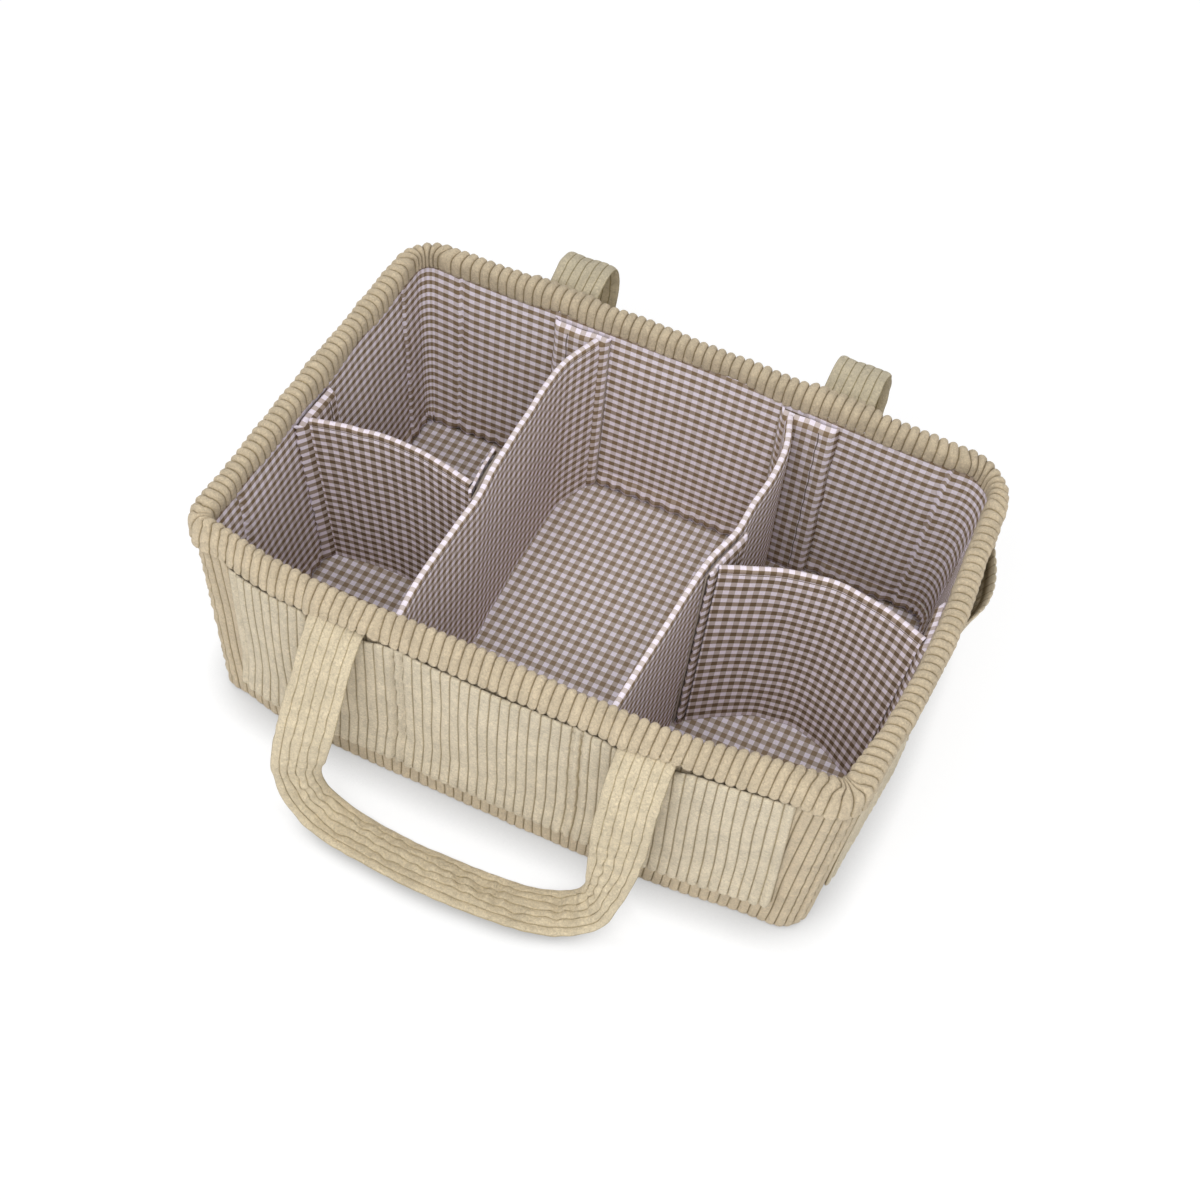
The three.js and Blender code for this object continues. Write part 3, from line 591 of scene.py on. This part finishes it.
def corner_bulk(side, shares):
    """Where the hem is folded thick on its inner side, from 0 to 1: round the front right corner."""
    if side not in ("front", "right"):
        return 0 * shares
    towards = shares if side == "front" else -shares
    return eased(towards - 0.55, 0.5)


def swell(side, share):
    """How far a strap end under the hem pushes it out, from 0 to 1."""
    here = place_of(side, share, 0, hem_middle_level) * (-1 if side == "back" else 1)
    out = np.zeros(np.shape(here))
    for place in strap_places[side]:
        out = np.maximum(out, 1 - eased(np.abs(here - place) - strap_half_swell, 0.008))
    return out


def across_straps(share):
    """Along the front, from -1 to 1 across each strap end, and 0 further off."""
    here = place_of("front", share, 0, hem_middle_level)
    out = np.zeros(np.shape(here))
    for place in strap_places["front"]:
        out = out + np.clip((here - place) / (strap_width / 2), -1, 1) * (np.abs(here - place) < 0.03)
    return out


hem_points, hem_phase = [], []
wales_before = 0
for number, side in enumerate(walls):
    length = lay_along(side, [0, 1], 0, height)[1]
    wales = int(round(length / wale))
    phase = wale_phases(wales)
    grid = (len(hem_profile), len(phase))
    plain = lay_along(side, phase / wales, 0.002, height)[0]
    profile_depth, profile_level, ribbed = (hem_profile[:, k][:, None] for k in range(3))
    inner = ramp(profile_depth, hem_inner_depth)
    outer_low = hump(profile_level - hem_outer_foot, 0.0016) * (1 - inner)
    inner_low = hump(profile_level - hem_inner_foot, 0.0060) * (inner > 0.8)
    on_top = ramp(profile_level - 0.1435, 0.006)
    calm = ramp(np.minimum(phase, wales - phase), 3)[None, :]
    swollen = swell(side, plain)[None, :] * (1 - inner) * ramp(0.1512 - profile_level, 0.004)
    lean = np.linspace(1, -1, len(hem_profile))[:, None] * soft_noise(grid, (1, 14), 51 + number)

    rise = rib_rise(phase[None, :], 2.1 - 0.3 * on_top)
    fullness = 1.5 + 1.3 * on_top + 0.25 * each_wale(phase, 59 + number)[None, :]
    lift = (rise * fullness - 1.1 - 0.6 * on_top) * 0.001
    lump = 0.0005 * soft_noise(grid, (3, 12), 63 + number) + 0.00035 * soft_noise(grid, (5, wales // 2), 67)
    lift = lift * ribbed + calm * lump
    to_front = (front_profile - hem_profile[:, :2])[:, None] * front_part(side, plain)[None, :, None]
    profile = hem_profile[:, None, :2] + to_front
    outwards = np.gradient(profile, axis=0)[..., ::-1] * (-1, 1)
    outwards /= np.linalg.norm(outwards, axis=-1, keepdims=True)
    roll = inner * ramp(profile_level - 0.1378, 0.006) * corner_bulk(side, plain)[None, :]
    depth = profile[..., 0] + outwards[..., 0] * lift - 0.0033 * swollen + 0.0048 * roll

    raised = 0
    if side == "front":
        raised = (0.0048 + 0.0022 * across_straps(plain)[None, :]) * swollen
        raised = raised * ramp(0.1485 - profile_level, 0.0145)
    outer_ends = 0.0021 * (rise - 0.6) * outer_low
    let_down = 0.0012 + calm * 0.0018 * soft_noise(grid, (1, 16), 71 + number)
    inner_ends = (0.0005 * (rise - 0.5) - let_down) * inner_low
    level = profile[..., 1] + outwards[..., 1] * lift - (outer_ends + inner_ends) + raised

    crisper = hem_corner_crisp * inner
    square = share_at(side, place_of(side, plain, 0, level), depth, level, crisper)
    fanned = eased(np.abs(plain) - 0.75, 0.5)[None, :]
    wander = calm * 0.0006 * lean * shares_per_wall / length
    shares = square + (plain - square) * fanned + wander
    hem_points.append(wall_point(side, shares, depth, level, crisper)[:, :-1])
    hem_phase.append((phase + wales_before)[:-1])
    wales_before += wales
hem_points = np.concatenate(hem_points, axis=1)
hem_points = np.concatenate([hem_points, hem_points[:, :1]], axis=1)
hem_phase = np.concatenate([*hem_phase, [wales_before]])
hem_weave = weave_of(hem_phase[None, :], hem_run[:, None])
hem = cloth_grid("rim_hem_strip", hem_points, hem_weave, hem_thickness, ring=True)
dress(hem, sand_corduroy, "corduroy", "tub", "rim_hem")


# Outside pockets
# A corduroy panel on every side, sewn down at both ends, along the bottom and at its inner seams,
# and slack between them. Its folded edge is thick below and stays open under the hem above.
pocket_low = 0.028
long_pocket_high = 0.1318
side_pocket_high = 0.124
pocket_thickness = 0.0007
pocket_corduroy = corduroy("pocket_corduroy", "#e0d3b9", "#b7a582")


def pocket_panel(side, seams, bows, high, mouth):
    """A panel from its first seam to its last. It gapes at its mouth, or else is fullest halfway up."""
    low = pocket_low
    start, end = seams[0], seams[-1]
    wales = int(round((end - start) / wale))
    phase = wale_phases(wales)
    places = start + (end - start) * phase / wales
    # Level, how far the cloth stands off the wall, and how far its ribs show.
    edge_rows = [(low + 0.0030, 0.0004, 0), (low + 0.0008, 0.0008, 0.2), (low, 0.0026, 0.9),
                 (low + 0.0007, 0.0048, 1), (low + 0.0026, 0.0060, 1), (low + 0.0060, 0.0058, 1),
                 (low + 0.0110, 0.0046, 1), (low + 0.0180, 0.0034, 1)]
    body_rows = [(level, 0.0020, 1) for level in np.linspace(low + 0.025, high - 0.007, 15)]
    top_rows = [(high - 0.0035, 0.0021, 1), (high - 0.0012, 0.0021, 1), (high - 0.0002, 0.0015, 0.8),
                (high, 0.0009, 0.3), (high - 0.0012, 0.0003, 0), (high - 0.0080, 0.0003, 0)]
    rows = np.array(edge_rows + body_rows + top_rows)
    grid = (len(rows), len(phase))
    level, proud, ribbed = (rows[:, k][:, None] + np.zeros(grid) for k in range(3))

    up = ramp(level - low, high - low)
    if mouth:
        fill = up ** 4
        proud = proud * np.interp(places, [-0.1, 0, 0.1], [0.25, 0.6, 0.6])[None, :]
    else:
        fill = np.sin(np.pi * up * 0.93)
    slack = np.zeros(grid)
    for bow, left, right in zip(bows, seams[:-1], seams[1:]):
        slack += bow * np.sin(np.pi * ramp(places - left, right - left)[None, :]) ** 2 * fill

    from_end = np.minimum(places - start, end - places)[None, :]
    border = ramp(from_end - 0.0045, 0.002)
    rise = rib_rise(phase)[None, :]
    rib_height = (0.0013 + 0.0007 * hump(level - low, 0.008)) * (0.25 + 0.75 * border)
    ribs = rib_height * (rise - 0.4) * ribbed + 0.0003 * soft_noise(grid, (6, wales // 2), 81)
    sewn = 0.0009 * hump(from_end - 0.0050, 0.0011)
    for seam in seams[1:-1]:
        for line in (-0.0024, 0.0024):
            off = places[None, :] - seam - line + 0.0003 * soft_noise(grid, (12, 3), 83)
            sewn = sewn + 0.0019 * hump(off, 0.0012)
        ruck = np.sin(level * 2 * np.pi / 0.0085 + 2 * soft_noise(grid, (9, 5), 85))
        sewn = sewn + 0.0010 * ruck * hump(places[None, :] - seam, 0.006)
    out = (proud + slack + ribs - sewn * ribbed) * np.clip(from_end / 0.0009, 0.05, 1)

    at_edges = hump(level - high, 0.0035) - 1.5 * hump(level - low, 0.0034)
    fingers = 0.0017 * (rib_rise(phase, 2.3)[None, :] - 0.6) * at_edges * ribbed.clip(0.4, 1)
    wander = 0.0005 * soft_noise(grid, (5, 20), 87) * ramp(from_end, 0.01)
    under_strap = swell(side, share_at(side, places, 0, hem_middle_level))[None, :]
    tuck = 0.0026 * under_strap * hump(level - high, 0.010)
    shares = share_at(side, places[None, :] + wander, 0, level)
    points = wall_point(side, shares, -0.0004 - out, level + fingers - tuck)
    weave = weave_of(phase[None, :], level)
    piece = cloth_grid(f"{side}_pocket_cloth", points, weave, pocket_thickness)
    dress(piece, pocket_corduroy, "pocket_corduroy", "tub", f"{side}_pocket_panel")


pocket_panel("front", (-0.160, -0.057, 0.046, 0.160), (0.0035, 0.004, 0.0035), long_pocket_high, False)
pocket_panel("back", (-0.160, -0.053, 0.053, 0.160), (0.0035, 0.004, 0.0035), long_pocket_high, False)
pocket_panel("right", (-0.100, 0.008, 0.100), (0.0005, 0.0115), side_pocket_high, True)
pocket_panel("left", (-0.100, -0.008, 0.100), (0.0115, 0.005), side_pocket_high, True)


# Carrying straps
# Each is a corduroy band of six ribs, sewn flat, with both ends sewn in under the hem. It arches
# out over the pockets and falls to the table, where its grip lies on one edge and crumples.
strap_thickness = 0.0034
strap_ribs = 6
row_step = 0.0012
rows_per_span = 24
table_gap = 0.0002
# The band's middle in millimetres, the way across it, and how much of its width it keeps there.
front_stations = [
    (-90.5, -132.4, 144, -1, 0, 0, 1), (-90.5, -133.6, 138.4, -1, -.02, .1, 1),
    (-90.5, -139.6, 135.4, -1, 0, .08, 1), (-90.5, -150, 124.5, -1, 0, 0, 1),
    (-90.5, -161.5, 106, -1, -.05, 0, 1), (-91.2, -172.5, 86, -1, -.15, -.05, 1),
    (-94, -176.7, 64, -27, -9, -12, .94), (-97, -175, 42, -24, -14, -18, .84),
    (-93, -173, 20, -16, -22, -17, .82), (-78, -174, 8, -5, -31, -2, .86),
    (-50, -176, 4.5, 0, -31, 6, .93), (-8, -177.5, 4.5, 0, -32, 7, 1),
    (38, -173.5, 4.5, 0, -32, 6, 1), (62, -167, 7, 8, -31, -2, .9),
    (75, -162, 19, 20, -20, -12, .82), (79.5, -160, 42, 28, -4, -6, .82),
    (82, -159, 68, 31, 6, -2, .92), (83, -158, 92, 32, 8, 0, 1),
    (83.5, -155.5, 110, 32, 3, 0, 1), (83.5, -148.5, 125.5, 1, 0, 0, 1),
    (83.5, -139.6, 135.2, 1, 0, .08, 1), (83.5, -133.4, 138.4, 1, -.02, .1, 1),
    (83.5, -131.4, 144, 1, 0, 0, 1)]
back_stations = [
    (-87, 125.8, 142, -1, 0, 0, 1), (-87, 127, 134.4, -1, 0, 0, 1),
    (-87, 132.5, 133.8, -1, 0, 0, 1), (-87, 140, 138.6, -1, 0, 0, 1),
    (-87, 153, 141.8, -1, 0, 0, 1), (-87, 164.5, 136.5, -1, 0, 0, 1),
    (-87, 171, 121, -1, 0, 0, 1), (-88, 172, 99, -1, .1, -.05, 1),
    (-92, 173, 64, -27, 9, -12, .94), (-95, 171, 42, -24, 14, -18, .84),
    (-90, 169, 20, -16, 22, -17, .82), (-75, 170, 8, -5, 31, -2, .86),
    (-47, 172, 4.5, 0, 31, 6, .93), (-5, 173.5, 4.5, 0, 32, 7, 1),
    (41, 170, 4.5, 0, 32, 6, 1), (65, 163, 7, 8, 31, -2, .9), (79, 159, 19, 20, 20, -12, .82),
    (83, 160, 42, 28, 4, -6, .82), (85, 165, 68, 31, -3, -2, .92), (87, 171, 99, 1, 0, 0, 1),
    (87, 171, 121, 1, 0, 0, 1), (87, 164, 136.5, 1, 0, 0, 1), (87, 152, 141.8, 1, 0, 0, 1),
    (87, 139, 138.6, 1, 0, 0, 1), (87, 131, 133.8, 1, 0, 0, 1), (87, 125, 134.4, 1, 0, 0, 1),
    (87, 123.8, 142, 1, 0, 0, 1)]


def smooth_rows(rows, per_span):
    """Smooth curves through rows of numbers, with so many new rows in each span."""
    rows = np.asarray(rows, float)
    padded = np.concatenate([2 * rows[:1] - rows[1:2], rows, 2 * rows[-1:] - rows[-2:-1]])
    spot = np.linspace(0, len(rows) - 1, (len(rows) - 1) * per_span + 1)
    base = np.minimum(spot.astype(int), len(rows) - 2)
    return catmull_rom(*(padded[base + k] for k in range(4)), (spot - base)[:, None])


def normalised(vectors):
    return vectors / np.linalg.norm(vectors, axis=-1, keepdims=True)


def strap_points(stations, limp_from, limp_to, seed):
    """Points round the band, row by row, with the number of the station at each row."""
    stations = np.array(stations)
    middle = smooth_rows(stations[:, :3], rows_per_span) / 1000
    across = smooth_rows(normalised(stations[:, 3:6]) * stations[:, 6:], rows_per_span)
    run = run_along(middle)
    even = np.linspace(0, run[-1], int(run[-1] / row_step))
    station = np.interp(even, run, np.arange(len(run)) / rows_per_span)
    middle = np.stack([np.interp(even, run, middle[:, k]) for k in range(3)], -1)
    across = np.stack([np.interp(even, run, across[:, k]) for k in range(3)], -1)
    tangent = normalised(np.gradient(middle, axis=0))
    width = np.linalg.norm(across, axis=1)
    across = normalised(across - (across * tangent).sum(1)[:, None] * tangent)
    normal = np.cross(tangent, across)

    around = wale_phases(2 * strap_ribs)
    upper = around <= strap_ribs
    phase = np.where(upper, around, 2 * strap_ribs - around)
    aside = 2 * phase / strap_ribs - 1
    half = strap_thickness / 2 * np.sqrt(np.clip(1 - np.abs(aside) ** 8, 0, 1))
    half = np.where(upper, half, -half)[None, :]
    columns = len(wale_phases(strap_ribs))
    grid = (len(even), columns)
    spread = np.interp(phase, np.linspace(0, strap_ribs, columns), np.arange(columns))
    low = np.floor(spread).astype(int).clip(0, columns - 2)
    part = spread - low

    def over(pattern):
        """The same pattern on both faces of the band."""
        return pattern[:, low] * (1 - part) + pattern[:, low + 1] * part

    limp_stations = [limp_from - 4, limp_from - 1, limp_from + 1, limp_to - 1, limp_to + 1, limp_to + 4]
    limp = np.interp(station, limp_stations, [0.25, 0.6, 1, 1, 0.8, 0.25])[:, None]
    inner = np.interp(aside, [-1, -0.85, -0.55, 0.3, 0.62, 1], [0.15, 0.5, 1, 1, 0.3, 0.15])[None, :]
    loose = limp * inner
    ribs = rib_rise(phase, 2.6)[None, :]
    half = half * (1 - 0.42 * (0.7 + 0.5 * limp) * (1 - ribs))
    beat = 1.1 * each_wale(np.minimum(phase, strap_ribs - 0.01), seed + 7)[None, :]
    beat = beat + 2.2 * over(soft_noise(grid, (34, 5), seed))
    wave = np.sin(even[:, None] * 2 * np.pi / 0.0108 + beat)
    strength = (0.35 + 0.65 * ribs) * (0.75 + 0.5 * over(soft_noise(grid, (40, 4), seed + 1)))
    lumps = (0.3 + loose) * over(soft_noise(grid, (22, 3), seed + 2))
    crumple = 0.0012 * loose * wave * strength + 0.0010 * lumps
    frill = 0.0003 * over(soft_noise(grid, (len(even) // 4, 8), seed + 4))
    frill = frill * ramp(phase - 4.6, 0.5)[None, :]
    shift = 0.0009 * loose * over(soft_noise(grid, (60, 6), seed + 3))
    reach = aside[None, :] * (width * strap_width / 2)[:, None] + frill + shift
    points = middle[:, None] + across[:, None] * reach[..., None]
    points = points + normal[:, None] * (half + crumple)[..., None]
    points[..., 2] = np.maximum(points[..., 2], table_gap)
    return points, weave_of(phase[None, :], even[:, None]), station


def strap_piece(name, band, start, end):
    points, weave, station = band
    first, last = np.searchsorted(station, start), np.searchsorted(station, end)
    piece = cloth_grid(name, points[first:last + 1], weave[first:last + 1], ring=True)
    close_ends()
    bpy.ops.object.shade_smooth_by_angle(angle=math.radians(75))
    return piece


def sewn_strap(side, stations, cut, limp, seed, cloth):
    """A strap cut at a station from each end, and crumpled loose between its two limp stations."""
    band = strap_points(stations, *limp, seed)
    count = len(stations) - 1
    for hand, first, last in (("left", 0, cut), ("right", count - cut, count)):
        piece = strap_piece(f"{side}_strap_{hand}_end", band, first, last)
        dress(piece, cloth, "corduroy", None, f"{side}_strap_{hand}_root", f"{side}_strap_{hand}_arch")
        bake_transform(piece)
    grip = strap_piece(f"{side}_strap_grip", band, cut, count - cut)
    dress(grip, cloth, "corduroy", None, f"{side}_handle_loop")
    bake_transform(grip)


strap_corduroy = corduroy("strap_corduroy", "#dfd0b2", "#bfae8a")
# A darker, greener copy of the strap corduroy: painted shade on the back straps.
shaded_back_corduroy = corduroy("shaded_back_corduroy", "#cec2a7", "#a3946f")
sewn_strap("front", front_stations, 3, (7, 15), 101, strap_corduroy)
sewn_strap("back", back_stations, 4.5, (9, 17), 111, shaded_back_corduroy)


# Dividers
# Two long dividers cross the tub from front to back and two short ones stand between them and
# the ends. Each is a stiff board in a gingham sleeve with a topstitched edge and a flange at each end.
divider_low = 0.0065
divider_top = 0.1350
sleeve_half = 0.0024
flange_middle = 0.0129
flange_on_lining = 0.0008
flange_on_sleeve = 0.0060
tab_length = 0.024
tab_overrun = 0.0045
lip_length = 0.007
left_bows = (0, 0.3, 0.38, 0.38, 0.34, 0.62, 0.78, 0.88, 1, 0.85, 0)
right_bows = (0, 0.05, 0.1, 0.15, 0.2, 0.34, 0.86, 0.86, 1, 0.78, 0)
divider_gingham = gingham("divider_gingham", "#f1e8f3", "#bfb0a5", "#88745c", 0.62)
# The divider gingham with a greyer white and darker checks: painted shade deep in the small compartments.
shaded_cross_gingham = gingham("shaded_cross_gingham", "#ebe1ec", "#ad9c90", "#705e4a", 0.62)
brown_thread = plain_woven("brown_thread", "#75685a", 1500.0, 0.8)


def on_wall(side, place, depth, level):
    """The point at a place along a wall."""
    return wall_point(side, share_at(side, place, depth, level), depth, level)


def long_line(front_place, back_place, bow, bows):
    """The middle of a long divider: a place at each end, and its bows in tenths of its length."""
    fine = smooth_rows([(x,) for x in bows], 50)[:, 0]

    def line(share, level):
        share, level = np.broadcast_arrays(np.asarray(share, float), np.asarray(level, float))
        start = on_wall("front", front_place, flange_middle, level)
        end = on_wall("back", -back_place, flange_middle, level)
        point = start + (end - start) * share[..., None]
        point[..., 0] += bow * np.interp(share * 10, np.linspace(0, 10, len(fine)), fine)
        return point
    return line


def beside(line, share, level, distance):
    """A point at a distance from a divider's middle, square to it."""
    share = np.asarray(share, float)
    ahead = line(np.clip(share + 0.01, 0, 1), level) - line(np.clip(share - 0.01, 0, 1), level)
    normal = normalised(np.stack([ahead[..., 1], -ahead[..., 0], np.zeros(ahead.shape[:-1])], -1))
    return line(share, level) + normal * np.asarray(distance)[..., None]


def thread(name, path, radius):
    """A sewing thread along a path of points."""
    tangent = normalised(np.gradient(path, axis=0))
    aside = normalised(np.cross(tangent, [0.13, 0.21, 1.0]))
    above = np.cross(aside, tangent)
    turn = np.linspace(0, 2 * np.pi, 7)
    ring = aside[:, None] * np.cos(turn)[None, :, None] + above[:, None] * np.sin(turn)[None, :, None]
    points = path[:, None] + radius * ring
    piece = cloth_grid(name, points, points[..., :2], ring=True)
    piece.data.materials.append(brown_thread)
    return piece


def join_into(target, others):
    bpy.ops.object.select_all(action="DESELECT")
    for piece in (*others, target):
        piece.select_set(True)
    bpy.context.view_layer.objects.active = target
    bpy.ops.object.join()
    return target


def sleeve(name, line, cloth, seed):
    """Up one face, over the piped top edge and down the other, and a row of stitches on each face."""
    face = [(sleeve_half, z) for z in np.linspace(divider_low, divider_top - 0.0070, 24)]
    edge = [(sleeve_half, -0.0058), (0.0018, -0.0044), (0.0019, -0.0034), (0.0021, -0.0020),
            (0.0015, -0.0005), (0, 0)]
    one = face + [(d, divider_top + z) for d, z in edge]
    rows = np.array([(-d, z) for d, z in one] + one[-2::-1])
    shares = np.linspace(0, 1, 161)[None, :]
    distance, level = (rows[:, k][:, None] + 0 * shares for k in range(2))
    ripple = soft_noise((len(one), 161), (4, 9), seed)
    ripple = np.concatenate([ripple, ripple[-2::-1]])
    calm = np.sin(np.pi * shares.clip(0.02, 0.98)) ** 0.4
    near_top = hump(level - divider_top, 0.010)
    level_here = level + 0.0005 * calm * near_top * soft_noise((1, 161), (1, 14), seed + 1)
    distance_here = distance + 0.0006 * ripple * calm * (1 - near_top)
    points = beside(line, shares + 0 * level, level_here, distance_here)
    length = run_along(points[len(one)])[-1]
    turn = run_along(rows)[:, None]
    turn = turn - turn[len(one) - 1]
    piece = cloth_grid(name, points, weave_of(shares * length, turn))
    piece.data.materials.append(cloth)
    stitch_row = len(face) + 1
    stitch_rows = (stitch_row, len(rows) - 1 - stitch_row)
    return join_into(piece, [thread("stitches", points[row, 2:-2], 0.00028) for row in stitch_rows])


def flange(name, points_at, settle, cloth, seed):
    """A strip across a divider's end, flat against what it meets, from its frilled lip to its long tab."""
    lip = np.linspace(-lip_length, -0.003, 9)
    reach = np.concatenate([lip, np.linspace(-0.002, tab_length + tab_overrun, 24)])
    below_edge = np.linspace(divider_low, divider_top - 0.006, 34)
    level = np.concatenate([below_edge, divider_top - np.array([0.004, 0.002, 0.0005, 0])])
    grid = (len(level), len(reach))
    reach, level = np.broadcast_arrays(reach[None, :], level[:, None])
    edge = ramp(-reach - 0.0026, 0.0044)
    tab_edge = ramp(reach - tab_length - 0.0012, 0.0033)
    top_edge = ramp(level - divider_top + 0.0035, 0.0035)
    frill = np.sin(level * 2 * np.pi / 0.0062 + 2 * soft_noise(grid, (14, 2), seed))
    reach_here = reach + 0.0006 * frill * edge + 0.0005 * soft_noise(grid, (10, 1), seed + 1) * tab_edge
    lift = 0.0004 * (frill + 1) * edge + 0.0002 * soft_noise(grid, (8, 3), seed + 2)
    lift = lift - settle * np.maximum(edge ** 1.5 + tab_edge ** 1.5, 0.7 * top_edge)
    level_here = level + 0.0006 * soft_noise(grid, (1, 5), seed + 3) * hump(level - divider_top, 0.01)
    points, flip = points_at(reach_here, level_here, lift)
    lay = weave_of(reach + 0.0006 * frill * edge, level)
    if flip:
        points, lay = points[:, ::-1], lay[:, ::-1]
    piece = cloth_grid(name, points, lay, 0.0016)
    piece.data.materials.append(cloth)
    seam_level = level[:, 0]
    seam_reach = tab_length - 0.0055 + 0.0003 * np.sin(seam_level * 2 * np.pi / 0.017)
    seam_line = points_at(seam_reach, seam_level, np.full(len(seam_reach), 0.0003))[0]
    return join_into(piece, [thread("seam", seam_line[1:-3], 0.00026)])


def flange_on_wall(name, side, place_at, hand, cloth, seed):
    def points_at(reach, level, lift):
        shares = share_at(side, place_at(level) + hand * reach, flange_middle, level)
        return wall_point(side, shares, flange_middle + flange_on_lining + lift, level), hand > 0
    return flange(name, points_at, 0.0048, cloth, seed)


def long_divider(name, hand, front_place, back_place, bow, bows, seed):
    """Makes a long divider, and says where its middle runs."""
    line = long_line(front_place, back_place, bow, bows)
    piece = sleeve(f"{name}_long_divider", line, divider_gingham, seed)
    piece = join_into(piece, [
        flange_on_wall("flange_a", "front", lambda level: front_place, hand, divider_gingham, seed + 3),
        flange_on_wall("flange_b", "back", lambda level: -back_place, -hand, divider_gingham, seed + 6)])
    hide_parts(f"{name}_divider_sleeve")
    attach(piece, f"{name}_divider")
    return line


left_line = long_divider("left", -1, -0.066, -0.059, -0.009, left_bows, 121)
right_line = long_divider("right", 1, 0.056, 0.062, 0.009, right_bows, 131)

# Where each cross divider stands from front to back at its ends, and its bow, at foot and top.
left_cross = dict(outer=(-0.009, -0.021), inner=(-0.011, -0.019), bow=(0.005, 0.008))
right_cross = dict(outer=(-0.016, -0.002), inner=(-0.021, -0.008), bow=(0.022, 0.016))


def cross_divider(side, hand, long, cross, seed):
    def foot_to_top(key, level):
        foot, top = cross[key]
        return foot + (top - foot) * (level - divider_low) / (divider_top - divider_low)

    def outer_place(level):
        return hand * foot_to_top("outer", level)

    def inner_share(level, reach=0):
        start, end = long(0 * level, level)[..., 1], long(0 * level + 1, level)[..., 1]
        return (foot_to_top("inner", level) + reach - start) / (end - start)

    def line(share, level):
        share, level = np.broadcast_arrays(np.asarray(share, float), np.asarray(level, float))
        outer = on_wall(side, outer_place(level), flange_middle, level)
        inner = beside(long, inner_share(level), level, hand * (flange_on_sleeve + 0.0008) + 0 * level)
        point = outer + (inner - outer) * share[..., None]
        point[..., 1] += foot_to_top("bow", level) * np.sin(share * np.pi)
        return point

    def on_long(reach, level, lift):
        distance = hand * (flange_on_sleeve + 0.0016 + lift)
        return beside(long, inner_share(level, reach), level, distance), hand < 0

    piece = sleeve(f"{side}_cross_divider_cloth", line, shaded_cross_gingham, seed)
    piece = join_into(piece, [flange_on_wall("flange_a", side, outer_place, hand, shaded_cross_gingham, seed + 3),
                              flange("flange_b", on_long, 0.0024, shaded_cross_gingham, seed + 6)])
    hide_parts(f"{side}_cross_divider_sleeve")
    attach(piece, f"{side}_cross_divider")


cross_divider("left", -1, left_line, left_cross, 141)
cross_divider("right", 1, right_line, right_cross, 151)
